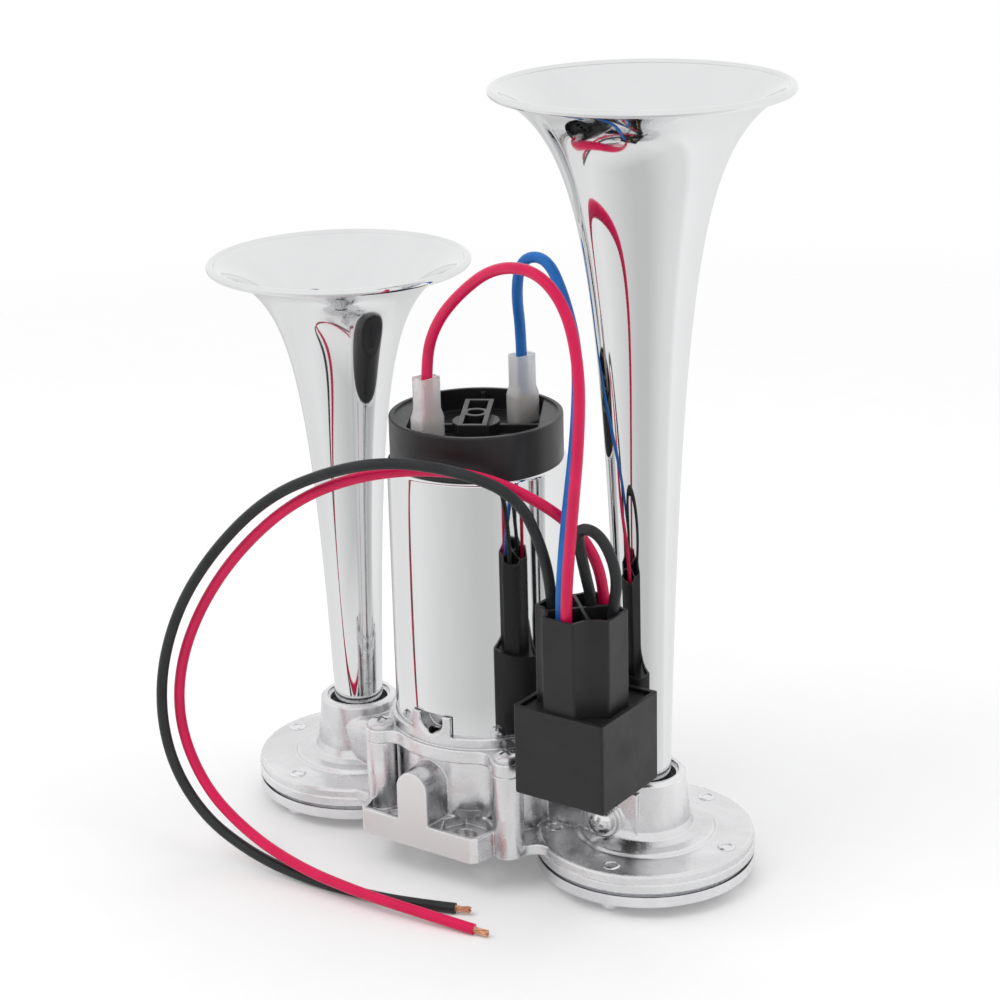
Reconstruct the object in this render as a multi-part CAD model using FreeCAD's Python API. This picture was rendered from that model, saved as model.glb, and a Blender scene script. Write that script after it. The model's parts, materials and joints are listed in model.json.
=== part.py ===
import FreeCAD, Part
import math
import os

# Twin-trumpet car air horn: two flared trumpets stand on one die-cast base, with an electric
# compressor between them and a plug-in relay on its leads. Lengths are in millimetres, +Z is up,
# and the origin is the middle of the footprint, on the surface that the rivet heads stand on.

V = FreeCAD.Vector
UP = V(0, 0, 1)

# Overall layout
TRUMPET_SPACING = 98.6
LONG_HEIGHT = 217.0
SHORT_HEIGHT = 161.0
LONG_RIM_R = 38.6
SHORT_RIM_R = 36.7
MOTOR_Y = -5.7

# Trumpets
TUBE_R = 7.0
TUBE_WALL = 0.8
LONG_FLARE = 12.0
SHORT_FLARE = 7.0
BEAD_R = 1.1
FLARE_POINTS = 9

# Sound chambers under the trumpets
DISC_R = 30.0
DISC_T = 5.0
DISC_EDGE = 0.6
PARTING_H = 2.4
PARTING_STEP = 0.45
STEP_INSET = 11.4
STEP_H = 1.0
STEP_SLOPE = 0.8
SEAM_INSET = 1.2
CHAMBER_INSET = 8.5
CHAMBER_ROOF_T = 1.8
NOZZLE_WALL = 2.4
DIAPHRAGM_T = 0.4
GASKET_T = 0.7
COVER_T = 3.2
COVER_DISH_T = 1.4
COVER_EDGE_R = 0.5
RIVET_R = 2.0
RIVET_INSET = 5.0
RIVET_HEAD_R = 3.6
RIVET_HEAD_H = 3.4
RIVET_TIP_R = 2.5
RIVET_TIP_H = 0.4
RIVET_DIMPLE_R = 1.6
RIVET_DIMPLE_H = 0.3
RIVET_FLAT_R = 1.2
RIVET_ANGLES = (2, 78, 141, 213, 280)

# Trumpet sockets
SOCKET_TOP_Z = 30.3
SOCKET_TOP_R = 11.0
SOCKET_BASE_R = 12.3
SOCKET_FILLET = 3.0
SOCKET_CHAMFER = 0.8
SOCKET_FOOT = 0.9
SOCKET_RIM_STEP = 1.1
SOCKET_MOUTH_R = 9.2
TUBE_SEAT_Z = 16.0
SEAL_R = 8.4
SEAL_DEPTH = 2.6
SEAL_H = 3.0

# Pump housing
HOUSING_R = 25.0
HOUSING_BOTTOM_Z = 9.7
PUMP_FLOOR_Z = 18.0
FLANGE_BOTTOM_Z = 34.0
PUMP_CAVITY_R = 20.5
POST_R = 4.3
POST_X = 21.2
POST_DX = 2.06
POST_REACH = 22.8
WEB_T = 3.0
WEB_LIP_W = 1.4
WEB_LIP_H = 1.0
WEB_FRONT = 18.6
WEB_BACK = 20.0
BLEND_R = 5.0
PASSAGE_TOP_Z = 27.0
PASSAGE_EDGE_R = 3.0
PASSAGE_BORE_R = 2.4
PASSAGE_BORE_Z = 21.5
PASSAGE_DROP = 15.8

# Mounting foot with its two captive-nut pockets and the air lug between them
FOOT_FRONT_HALF_W = 19.5
FOOT_BACK_HALF_W = 21.3
FOOT_FRONT_Y = -39.4
FOOT_BACK_Y = -31.0
FOOT_TOP_Z = 17.0
FOOT_FLOOR_T = 4.3
FOOT_CHAMFER_X = 1.6
FOOT_CHAMFER_Y = 1.4
BOLT_X = 11.35
BOLT_Y = -32.5
BOLT_HOLE_R = 3.3
NUT_CORNER_R = 6.5
NUT_RELIEF_Z = 19.0
POCKET_FRONT_REACH = 6.6
POCKET_SIDE_REACH = 8.9
POCKET_SIDE_Y = 2.1
LUG_DX = -1.1
LUG_R = 4.9
LUG_TOP_Z = 31.7
LUG_DRAFT = 0.8

# Screw on the side of the right-hand passage
PASSAGE_SCREW_DX = -5.8
PASSAGE_SCREW_Z = 18.4
SCREW_PAD_X0 = 35.5
SCREW_PAD_X1 = 52.9
SCREW_PAD_T = 0.8
SCREW_PAD_TOP_Z = 27.9
SCREW_BOSS_R = 5.4
SCREW_BOSS_T = 1.5
SCREW_BOSS_STEP_R = 6.5
SCREW_BOSS_STEP_T = 0.4
WASHER_R = 4.6
WASHER_T = 0.8
SCREW_BORE_DEPTH = 4.5
SPOT_FACE_T = 3.0

# Cross-head screws
SCREW_HEAD_R = 3.62
SCREW_HEAD_H = 2.5
SCREW_DOME_R = 5.2
SCREW_SHANK_R = 1.8
SCREW_DEPTH = 9.0
CROSS_W = 0.9
CROSS_L = 3.9
CROSS_DEPTH = 1.3
SCREW_ANGLES = (20, 65, 40, 10)
PASSAGE_SCREW_ANGLE = 18

# Motor flange
FLANGE_T = 3.7
FLANGE_R = 26.9
FLANGE_BLEND = 4.0
CAN_RING_T = 1.1
CAN_RING_H = 3.0
INLET_LUG_HALF_W = 6.2
INLET_R = 3.6
INLET_AXIS_H = 7.2
INLET_CHAMFER = 0.9
INLET_REACH = 3.6
INLET_BACK_T = 1.2
PORT_R = 1.8
PORT_DEPTH = 1.8
PORT_END_R = 14.2

# Motor can and end cap
CAN_R = 24.5
CAN_WALL = 1.2
CAN_TOP_Z = 113.3
CAN_SHOULDER_R = 1.0
CAN_LIP_R = 21.8
CAN_HUB_R = 6.2
CAN_HUB_H = 4.2
NOTCH_GAP = 0.2
NOTCH_H = 8.9
CAP_R = 23.55
CAP_TOP_Z = 125.6
CAP_FLOOR_Z = 119.6
CAP_PLATE_T = 3.0
CAP_WALL = 1.4
CAP_ANGLE = 30.0
CAP_EDGE_R = 0.4
CAP_LEDGE = 17.5
CAP_LEDGE_DROP = 0.5
CAP_SKIRT_DROP = 4.6
CAP_BOSS_R = 6.4
CAP_BOSS_H = 3.7
FRAME_W = 7.8
FRAME_L = 24.0
FRAME_WALL = 1.3
FRAME_RING_R = 3.6
CAP_RIB_T = 1.1
CAP_RIB_H = 2.6

# Motor inside
SHAFT_R = 2.5
SHAFT_BOTTOM_Z = 11.9
BUSH_R = 4.5
BUSH_H = 5.6
BUSH_RISE = 1.0
SHAFT_SHORTFALL = 0.3
MAGNET_T = 4.6
MAGNET_BOTTOM_Z = 50.0
MAGNET_TOP_Z = 96.0
MAGNET_SPAN = 124.0
AIR_GAP = 0.8
CORE_BOTTOM_Z = 54.0
CORE_TOP_Z = 91.0
CORE_SLOTS = 7
SLOT_W = 5.4
SLOT_INNER_R = 7.6
SLOT_LIP = 1.9
SLOT_MOUTH_W = 1.8
COIL_END_H = 6.5
COIL_INSET = 0.15
COIL_CHAMFER = 2.2
COMM_R = 8.0
COMM_BOTTOM_Z = 99.5
COMM_TOP_Z = 109.6
COMM_RISER_R = 9.6
COMM_RISER_H = 1.5
COMM_GROOVE = 0.6
COMM_GROOVE_DEPTH = 1.2
BRUSH_W = 6.0
BRUSH_H = 5.0
BRUSH_L = 6.4
BRUSH_BOTTOM_Z = 103.0
BRUSH_GAP = 0.2
CAGE_WALL = 1.5
CAGE_START_R = 9.8

# Pump inside
ROTOR_R = 12.5
ROTOR_END_GAP = 0.1
ECCENTRIC = 1.8
LINER_BORE_R = 14.5
VANES = 4
VANE_T = 2.0
VANE_DEPTH = 5.6
FIRST_VANE_ANGLE = 45

# Motor terminals and their sleeves
TAB_R = 16.2
TAB_ANGLE = 73.0
TAB_W = 4.8
TAB_T = 0.8
TAB_TOP_Z = 125.5
ARM_Z = 111.2
SLEEVE_W = 8.4
SLEEVE_T = 5.4
SLEEVE_NECK_W = 6.6
SLEEVE_NECK_T = 5.2
SLEEVE_WALL = 0.7
SLEEVE_CORNER_R = 1.3
SLEEVE_KNEE_Z = 127.6
SLEEVE_NECK_Z = 130.0
SLEEVE_TOP_Z = 138.6
RECEPTACLE_H = 6.6
RECEPTACLE_T = 0.4
RECEPTACLE_SLIT = 0.8
CRIMP_R = 1.2

# Relay and its socket
RELAY_SIZE = 27.6
RELAY_X = 44.35
RELAY_Y = -23.1
RELAY_BOTTOM_Z = 33.5
RELAY_TOP_Z = 58.7
RELAY_RIM = 1.3
RELAY_RECESS = 2.6
RELAY_BASE_T = 1.6
RELAY_EDGE_R = 0.8
RELAY_NOTCH_L = 7.0
RELAY_NOTCH_W = 1.2
RELAY_NOTCH_DEPTH = 0.7
PLUG_OFFSET_X = -0.3
PLUG_OFFSET_Y = -1.1
PLUG_SIZE = 22.8
PLUG_LOBE_HALF_W = 4.6
PLUG_SCOOP_INSET = 0.5
PLUG_H = 27.0
PLUG_WALL = 0.9
PLUG_CAVITY_DEPTH = 12.7
PLUG_CORNER_R = 0.9
BLADE_W = 6.3
BLADE_T = 0.8
BLADE_H = 10.5
BLADE_PITCH = 8.2
CONTACT_T = 0.4
CONTACT_RISE = 0.6
CONTACT_FOOT_T = 0.8
CONTACT_FOOT_L = 5.4

# Leads
LEAD_R = 1.5
STRAND_R = 1.0
STRAND_L = 4.6
ARC_SHARE = 0.45

# Fits
SLIDE_FIT = 0.1
PRESS_FIT = 0.02
RUNNING_FIT = 0.03
BRIDGE = 1.0

# Heights and places that follow from the sizes above
MID_X = (SHORT_RIM_R - LONG_RIM_R) / 2
LONG_X = MID_X + TRUMPET_SPACING / 2
SHORT_X = MID_X - TRUMPET_SPACING / 2
LUG_X = MID_X + LUG_DX
POST_MID_X = MID_X + POST_DX
COVER_Z = RIVET_HEAD_H
DIAPHRAGM_Z = COVER_Z + COVER_T
GASKET_Z = DIAPHRAGM_Z + DIAPHRAGM_T
CAST_Z = GASKET_Z + GASKET_T
CHAMBER_R = DISC_R - CHAMBER_INSET
STEP_R = DISC_R - STEP_INSET
RIVET_PITCH_R = DISC_R - RIVET_INSET
DISC_Z = CAST_Z + DISC_T
WEB_TOP_Z = HOUSING_BOTTOM_Z + WEB_T
FLANGE_Z = FLANGE_BOTTOM_Z + FLANGE_T
RING_INNER_R = CAN_R + SLIDE_FIT
RING_OUTER_R = RING_INNER_R + CAN_RING_T
CAN_INNER_R = CAN_R - CAN_WALL
INLET_BACK_R = CAN_INNER_R - INLET_REACH
CORE_R = CAN_INNER_R - PRESS_FIT - MAGNET_T - AIR_GAP
CAP_PLATE_Z = CAP_FLOOR_Z - CAP_PLATE_T
BUSH_TOP_Z = CAP_PLATE_Z + BUSH_RISE
SHAFT_TOP_Z = BUSH_TOP_Z - SHAFT_SHORTFALL
RELAY_PLUG_Z = RELAY_TOP_Z - RELAY_RECESS + RELAY_BASE_T
PLUG_CX = RELAY_X + PLUG_OFFSET_X
PLUG_CY = RELAY_Y + PLUG_OFFSET_Y
PLUG_TOP_Z = RELAY_PLUG_Z + PLUG_H

# Routes of the leads, as points chosen along each wire
RED_MOTOR_ROUTE = [(-5.7, -21.2, 127.5), (-5.7, -21.2, 142.5), (-1.5, -22.3, 153.5), (8.0, -24.5, 163.5),
                   (21.5, -27.8, 173.0), (36.5, -31.2, 175.0), (47.5, -34.2, 167.5), (51.8, -35.3, 152.5),
                   (51.2, -35.1, 134.5), (48.3, -34.2, 113.5), (45.8, -33.3, 95.0), (45.0, -32.9, 83.0),
                   (45.0, -32.9, 72.0)]
BLUE_MOTOR_ROUTE = [(3.8, 9.8, 127.5), (3.8, 9.8, 144.0), (5.6, 5.0, 158.0), (9.0, 3.4, 167.5),
                    (17.5, 2.8, 168.5), (24.5, 0.4, 158.5), (31.2, -4.2, 145.5), (35.2, -12.0, 126.5),
                    (38.4, -22.0, 107.0), (41.0, -28.8, 91.5), (41.9, -30.5, 81.5), (41.9, -30.5, 72.0)]
BLACK_POWER_ROUTE = [(35.4, -24.4, 72.0), (35.4, -24.4, 86.0), (33.6, -26.4, 100.5), (28.0, -29.2, 114.0),
                     (15.0, -36.4, 120.4), (-2.0, -43.6, 122.3), (-20.0, -47.6, 117.4),
                     (-38.0, -51.0, 108.0), (-54.5, -55.0, 91.0), (-66.5, -58.2, 72.0),
                     (-72.6, -60.4, 50.0), (-70.8, -60.8, 29.0), (-60.0, -60.2, 13.0),
                     (-43.0, -58.4, 4.2), (-24.0, -57.6, 1.55), (-8.0, -56.2, 1.5), (6.0, -53.7, 1.5),
                     (19.0, -49.3, 1.5)]
RED_POWER_ROUTE = [(46.6, -16.3, 72.0), (46.6, -16.3, 86.0), (42.6, -16.4, 98.6), (33.2, -19.6, 108.0),
                   (20.5, -28.6, 116.8), (5.0, -35.6, 119.2), (-14.0, -42.7, 115.9),
                   (-31.0, -47.8, 107.5), (-48.0, -50.8, 92.0), (-61.0, -53.4, 74.0),
                   (-68.8, -55.6, 55.0), (-70.0, -56.2, 36.5), (-61.5, -56.8, 20.0),
                   (-46.0, -57.8, 10.5), (-26.5, -59.4, 5.6), (-5.0, -60.0, 4.2), (13.5, -58.2, 2.9),
                   (29.7, -56.0, 1.5)]
JUMPER_ROUTE = [(44.9, -19.9, 72.0), (44.9, -19.9, 84.0), (43.8, -22.4, 95.0), (42.8, -24.4, 106.8),
                (50.4, -24.2, 106.2), (54.8, -22.9, 95.0), (52.3, -22.6, 83.5), (52.3, -22.6, 72.0)]

os.makedirs("parts", exist_ok=True)


def cylinder(radius, z0, z1, x=0.0, y=0.0):
    return Part.makeCylinder(radius, z1 - z0, V(x, y, z0), UP)


def tube(outer, inner, z0, z1, x=0.0, y=0.0):
    return cylinder(outer, z0, z1, x, y).cut(cylinder(inner, z0, z1, x, y))


def block(x0, x1, y0, y1, z0, z1):
    return Part.makeBox(x1 - x0, y1 - y0, z1 - z0, V(x0, y0, z0))


def turned(profile, x=0.0, y=0.0):
    """A solid of revolution about a vertical axis, from (radius, height) corners."""
    corners = [V(x + r, y, z) for r, z in profile]
    face = Part.Face(Part.makePolygon(corners + corners[:1]))
    return face.revolve(V(x, y, 0), UP, 360)


def fused(shapes):
    first, rest = shapes[0], shapes[1:]
    return first.fuse(rest).removeSplitter() if rest else first


def without(shape, cuts):
    for cut in cuts:
        shape = shape.cut(cut)
    return shape


def turn(shape, degrees, x, y):
    copy = shape.copy()
    copy.rotate(V(x, y, 0), UP, degrees)
    return copy


def moved(shape, x, y, z=0.0):
    copy = shape.copy()
    copy.translate(V(x, y, z))
    return copy


def disc_face(radius, x, y):
    circle = Part.makeCircle(radius, V(x, y, 0), UP)
    return Part.Face(Part.Wire(circle))


def rectangle_face(x0, x1, y0, y1):
    return Part.makePlane(x1 - x0, y1 - y0, V(x0, y0, 0))


def blended(faces, radius):
    """One flat outline from several, with its inner corners rounded to a radius."""
    outline = fused(faces).Faces[0]
    return outline.makeOffset2D(radius).makeOffset2D(-radius)


def raised(face, z0, z1):
    return moved(face, 0, 0, z0).extrude(V(0, 0, z1 - z0))


def save(name, shape):
    shape.exportStep("parts/%s.step" % name)
    print("%-24s volume %9.1f  solids %d" % (name, shape.Volume, len(shape.Solids)))


def flare_point(rim_r, rim_z, foot_z, flare, radius, offset):
    """A point of the horn curve, moved across the wall by an offset."""
    power = math.log(rim_r / TUBE_R) / math.log((rim_z - foot_z + flare) / flare)
    drop = flare * ((rim_r / radius) ** (1 / power) - 1)
    slope = power * radius / (drop + flare)
    length = math.hypot(1, slope)
    return radius - offset / length, rim_z - drop + offset * slope / length


def trumpet(x, rim_r, height, flare):
    """A spun trumpet: straight foot, horn curve and a rolled bead at the rim."""
    bead_r = rim_r - BEAD_R
    bead_z = height - BEAD_R
    lines = []
    for offset in (0.0, TUBE_WALL):
        points = []
        for i in range(FLARE_POINTS):
            radius = TUBE_R * (bead_r / TUBE_R) ** (i / (FLARE_POINTS - 1))
            r, z = flare_point(bead_r, bead_z, SOCKET_TOP_Z, flare, radius, offset)
            points.append(V(x + r, 0, z))
        curve = Part.BSplineCurve()
        curve.interpolate(points)
        lines.append((points, curve.toShape()))
    (outer, outer_curve), (inner, inner_curve) = lines
    outer_foot = V(outer[0].x, 0, TUBE_SEAT_Z)
    inner_foot = V(inner[0].x, 0, TUBE_SEAT_Z)
    edges = [Part.makeLine(outer_foot, outer[0]), outer_curve, Part.makeLine(outer[-1], inner[-1]),
             inner_curve, Part.makeLine(inner[0], inner_foot), Part.makeLine(inner_foot, outer_foot)]
    wire = Part.Wire(Part.__sortEdges__(edges))
    horn = Part.Face(wire).revolve(V(x, 0, 0), UP, 360)
    bead = Part.makeTorus(bead_r, BEAD_R, V(x, 0, bead_z), UP)
    return horn.fuse(bead)


def rivet_places(x, side):
    """Rivet centres of one sound chamber; the two chambers mirror each other."""
    places = []
    for angle in RIVET_ANGLES:
        a = math.radians(angle)
        places.append((x + side * RIVET_PITCH_R * math.cos(a), RIVET_PITCH_R * math.sin(a)))
    return places


def rivet_holes(x, side, z0, z1):
    return [cylinder(RIVET_R + SLIDE_FIT, z0, z1, px, py) for px, py in rivet_places(x, side)]


def rivets(x, side):
    """Domed heads underneath, which are the feet, and small upset tips on top."""
    dome_r = (RIVET_HEAD_R ** 2 + RIVET_HEAD_H ** 2) / (2 * RIVET_HEAD_H)
    dome_z = math.sqrt(dome_r ** 2 - RIVET_FLAT_R ** 2)
    group = []
    for px, py in rivet_places(x, side):
        dome = Part.makeSphere(dome_r, V(px, py, dome_z))
        head = dome.common(cylinder(RIVET_HEAD_R, 0, COVER_Z, px, py))
        shank = cylinder(RIVET_R, COVER_Z, DISC_Z, px, py)
        tip = Part.makeCone(RIVET_TIP_R, RIVET_R, RIVET_TIP_H, V(px, py, DISC_Z), UP)
        top_z = DISC_Z + RIVET_TIP_H
        dimple = cylinder(RIVET_DIMPLE_R, top_z - RIVET_DIMPLE_H, top_z, px, py)
        group.append(fused([head, shank, tip]).cut(dimple))
    return Part.makeCompound(group)


def cover_plate(x, side):
    """The round bottom plate, dished inside so that the diaphragm can move."""
    plate = cylinder(DISC_R, COVER_Z, DIAPHRAGM_Z, x)
    rim = [e for e in plate.Edges if e.Closed and e.BoundBox.ZMax < COVER_Z + BRIDGE]
    plate = plate.makeFillet(COVER_EDGE_R, rim)
    dish = cylinder(CHAMBER_R, COVER_Z + COVER_DISH_T, DIAPHRAGM_Z, x)
    return without(plate, [dish] + rivet_holes(x, side, COVER_Z, DIAPHRAGM_Z))


def diaphragm(x, side):
    disc = cylinder(DISC_R - SEAM_INSET, DIAPHRAGM_Z, GASKET_Z, x)
    return without(disc, rivet_holes(x, side, DIAPHRAGM_Z, GASKET_Z))


def gasket(x, side):
    ring = tube(DISC_R - SEAM_INSET, CHAMBER_R, GASKET_Z, CAST_Z, x)
    return without(ring, rivet_holes(x, side, GASKET_Z, CAST_Z))


def disc_and_socket(x):
    """One sound chamber top with its raised step and tapered trumpet socket."""
    r = SOCKET_BASE_R + SOCKET_FILLET
    step_z = DISC_Z + STEP_H
    parting_z = CAST_Z + PARTING_H
    upper_r = DISC_R - PARTING_STEP
    profile = [(0, CAST_Z), (DISC_R, CAST_Z), (DISC_R, parting_z), (upper_r, parting_z),
               (upper_r, DISC_Z - DISC_EDGE), (upper_r - DISC_EDGE, DISC_Z),
               (STEP_R + STEP_SLOPE, DISC_Z), (STEP_R, step_z), (r, step_z),
               (SOCKET_BASE_R + SOCKET_FOOT, step_z + SOCKET_FOOT), (SOCKET_BASE_R, step_z + SOCKET_FILLET),
               (SOCKET_TOP_R, SOCKET_TOP_Z - SOCKET_CHAMFER),
               (SOCKET_TOP_R - SOCKET_CHAMFER, SOCKET_TOP_Z), (0, SOCKET_TOP_Z)]
    return turned(profile, x)


def chamber_cuts(x, side):
    """The stepped bore for the tube, the nozzle and the ring-shaped air chamber below."""
    nozzle_r = TUBE_R - TUBE_WALL
    inner = nozzle_r + NOZZLE_WALL
    roof_z = DISC_Z - CHAMBER_ROOF_T
    return [cylinder(SOCKET_MOUTH_R, SOCKET_TOP_Z - SOCKET_RIM_STEP, SOCKET_TOP_Z, x),
            cylinder(SEAL_R, SOCKET_TOP_Z - SEAL_DEPTH - SEAL_H, SOCKET_TOP_Z, x),
            cylinder(TUBE_R + SLIDE_FIT, TUBE_SEAT_Z, SOCKET_TOP_Z, x),
            cylinder(nozzle_r, CAST_Z, TUBE_SEAT_Z, x),
            cylinder(inner, CAST_Z, CAST_Z + GASKET_T, x),
            tube(CHAMBER_R, inner, CAST_Z, roof_z, x)] + rivet_holes(x, side, CAST_Z, DISC_Z + STEP_H)


def tube_seal(x):
    """The rubber ring that makes the trumpet foot airtight in its socket."""
    top = SOCKET_TOP_Z - SEAL_DEPTH
    return tube(SEAL_R - PRESS_FIT, TUBE_R + PRESS_FIT, top - SEAL_H, top, x)


def post_places():
    return [(POST_MID_X + sx * POST_X, MOTOR_Y + sy * POST_REACH) for sy in (-1, 1) for sx in (-1, 1)]


def base_outline():
    """Plan of the web that ties the housing, its posts and both chambers together."""
    faces = [disc_face(HOUSING_R, MID_X, MOTOR_Y)]
    faces += [disc_face(POST_R, x, y) for x, y in post_places()]
    faces += [disc_face(DISC_R - 1, x, 0) for x in (SHORT_X, LONG_X)]
    faces.append(rectangle_face(SHORT_X, LONG_X, MOTOR_Y - WEB_FRONT, MOTOR_Y + WEB_BACK))
    faces.append(rectangle_face(POST_MID_X - POST_X, POST_MID_X + POST_X,
                                MOTOR_Y - POST_REACH, MOTOR_Y + POST_REACH))
    return blended(faces, BLEND_R)


def base_web():
    """The web plate, with a low lip left standing along its edge."""
    outline = base_outline()
    recess = outline.makeOffset2D(-WEB_LIP_W)
    plate = raised(outline, HOUSING_BOTTOM_Z, WEB_TOP_Z)
    return plate.cut(raised(recess, WEB_TOP_Z - WEB_LIP_H, WEB_TOP_Z))


def d_section(half_w, y, top_z):
    """An upright outline with straight sides and a round top."""
    z0 = HOUSING_BOTTOM_Z
    axis_z = top_z - half_w
    x0, x1 = LUG_X - half_w, LUG_X + half_w
    arc = Part.Arc(V(x0, y, axis_z), V(LUG_X, y, top_z), V(x1, y, axis_z))
    left = Part.makeLine(V(x0, y, z0), V(x0, y, axis_z))
    right = Part.makeLine(V(x1, y, axis_z), V(x1, y, z0))
    foot = Part.makeLine(V(x1, y, z0), V(x0, y, z0))
    return Part.Wire([left, arc.toShape(), right, foot])


def air_lug():
    """The round-topped lug in front, which widens towards the housing wall."""
    back_y = MOTOR_Y - PUMP_CAVITY_R - BRIDGE
    front = d_section(LUG_R, FOOT_FRONT_Y, LUG_TOP_Z)
    back = d_section(LUG_R + LUG_DRAFT, back_y, LUG_TOP_Z + LUG_DRAFT)
    return Part.makeLoft([front, back], True, True)


def polygon_face(points):
    corners = [V(x, y, 0) for x, y in points]
    return Part.Face(Part.makePolygon(corners + corners[:1]))


def foot_block():
    """The foot, which widens from its chamfered front towards the posts."""
    back_y = MOTOR_Y - PUMP_CAVITY_R
    half = [(FOOT_BACK_HALF_W, back_y), (FOOT_BACK_HALF_W, FOOT_BACK_Y),
            (FOOT_FRONT_HALF_W, FOOT_FRONT_Y + FOOT_CHAMFER_Y),
            (FOOT_FRONT_HALF_W - FOOT_CHAMFER_X, FOOT_FRONT_Y)]
    right = [(MID_X + x, y) for x, y in half]
    left = [(MID_X - x, y) for x, y in reversed(half)]
    return raised(polygon_face(right + left), HOUSING_BOTTOM_Z, FOOT_TOP_Z)


def foot_cuts():
    """Two six-sided nut pockets beside the lug, open towards the foot's side wall."""
    floor_z = HOUSING_BOTTOM_Z + FOOT_FLOOR_T
    flat = NUT_CORNER_R * math.cos(math.radians(30))
    half = NUT_CORNER_R / 2
    plan = [(-NUT_CORNER_R, 0), (-half, flat), (half, flat), (POCKET_SIDE_REACH, POCKET_SIDE_Y),
            (POCKET_FRONT_REACH, -flat), (-half, -flat)]
    keep = [air_lug()] + [cylinder(POST_R, floor_z, NUT_RELIEF_Z, px, py) for px, py in post_places()]
    cuts = []
    for side in (-1, 1):
        x = MID_X + side * BOLT_X
        face = polygon_face([(x + side * dx, BOLT_Y + dy) for dx, dy in plan])
        cuts.append(without(raised(face, floor_z, NUT_RELIEF_Z), keep))
        cuts.append(cylinder(BOLT_HOLE_R, HOUSING_BOTTOM_Z, floor_z, x, BOLT_Y))
    return cuts


def passage_block():
    """The hollow bar that carries air from the pump to both sockets."""
    bar = block(SHORT_X, LONG_X, -SOCKET_TOP_R, SOCKET_TOP_R, HOUSING_BOTTOM_Z, PASSAGE_TOP_Z)
    top = [e for e in bar.Edges if e.BoundBox.ZMin > PASSAGE_TOP_Z - 0.01 and e.BoundBox.XLength > 1]
    return bar.makeFillet(PASSAGE_EDGE_R, top)


def passage_cuts():
    cuts = []
    for side, axis_x in ((-1, SHORT_X), (1, LONG_X)):
        drop_x = axis_x - side * PASSAGE_DROP
        start = V(MID_X, 0, PASSAGE_BORE_Z)
        length = abs(drop_x - MID_X)
        cuts.append(Part.makeCylinder(PASSAGE_BORE_R, length, start, V(side, 0, 0)))
        cuts.append(cylinder(PASSAGE_BORE_R, CAST_Z, PASSAGE_BORE_Z, drop_x, 0))
    return cuts


def screw_seat():
    """The middle of the boss face that the passage screw's washer lies on."""
    return V(LONG_X + PASSAGE_SCREW_DX, -SOCKET_TOP_R - SCREW_BOSS_T, PASSAGE_SCREW_Z)


def screw_pad():
    """The flat pad on the right-hand passage with the stepped boss for its screw."""
    seat = screw_seat()
    depth = SCREW_BOSS_T + SCREW_BORE_DEPTH
    pad = block(SCREW_PAD_X0, SCREW_PAD_X1, -SOCKET_TOP_R - SCREW_PAD_T, seat.y + depth,
                DISC_Z, SCREW_PAD_TOP_Z)
    step_y = -SOCKET_TOP_R - SCREW_PAD_T - SCREW_BOSS_STEP_T
    step = Part.makeCylinder(SCREW_BOSS_STEP_R, depth, V(seat.x, step_y, seat.z), V(0, 1, 0))
    boss = Part.makeCylinder(SCREW_BOSS_R, depth, seat, V(0, 1, 0))
    above = block(SCREW_PAD_X0, SCREW_PAD_X1, seat.y, seat.y + 2 * depth, DISC_Z, SCREW_PAD_TOP_Z)
    return fused([pad, step, boss]).common(above)


def base_casting():
    """The die-cast base: chambers, sockets, pump housing, posts, passages and foot."""
    body = [base_web(),
            cylinder(HOUSING_R, HOUSING_BOTTOM_Z, FLANGE_BOTTOM_Z, MID_X, MOTOR_Y),
            passage_block(), screw_pad(), foot_block(), air_lug(),
            disc_and_socket(SHORT_X), disc_and_socket(LONG_X)]
    body += [cylinder(POST_R, HOUSING_BOTTOM_Z, FLANGE_BOTTOM_Z, x, y) for x, y in post_places()]
    casting = fused(body)
    bush_bore = BUSH_R + PRESS_FIT
    cuts = [cylinder(PUMP_CAVITY_R, PUMP_FLOOR_Z, FLANGE_BOTTOM_Z, MID_X, MOTOR_Y),
            cylinder(bush_bore, PUMP_FLOOR_Z - BUSH_H, PUMP_FLOOR_Z, MID_X, MOTOR_Y),
            cylinder(SHAFT_R + BRIDGE, SHAFT_BOTTOM_Z - RUNNING_FIT, PUMP_FLOOR_Z, MID_X, MOTOR_Y),
            Part.makeCylinder(SCREW_SHANK_R, SCREW_BORE_DEPTH + SCREW_BOSS_T, screw_seat(), V(0, 1, 0)),
            Part.makeCylinder(WASHER_R + SLIDE_FIT, SPOT_FACE_T, screw_seat(), V(0, -1, 0))]
    for px, py in post_places():
        cuts.append(cylinder(SCREW_SHANK_R, FLANGE_Z - SCREW_DEPTH, FLANGE_BOTTOM_Z, px, py))
    cuts += foot_cuts() + passage_cuts() + chamber_cuts(SHORT_X, -1) + chamber_cuts(LONG_X, 1)
    return without(casting, cuts)


def cross_screw(length):
    """A pan-head screw with a cross recess, standing on z = 0 with its shank below."""
    rise = SCREW_HEAD_H
    dome = Part.makeSphere(SCREW_DOME_R, V(0, 0, rise - SCREW_DOME_R))
    head = cylinder(SCREW_HEAD_R, 0, rise).common(dome)
    half, reach = CROSS_W / 2, CROSS_L / 2
    z0 = rise - CROSS_DEPTH
    cross = block(-half, half, -reach, reach, z0, rise).fuse(block(-reach, reach, -half, half, z0, rise))
    shank = cylinder(SCREW_SHANK_R - RUNNING_FIT, -length, 0)
    return head.cut(cross).fuse(shank)


def flange_screws():
    screw = cross_screw(SCREW_DEPTH - SLIDE_FIT)
    group = [moved(turn(screw, angle, 0, 0), x, y, FLANGE_Z)
             for angle, (x, y) in zip(SCREW_ANGLES, post_places())]
    return Part.makeCompound(group)


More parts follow.
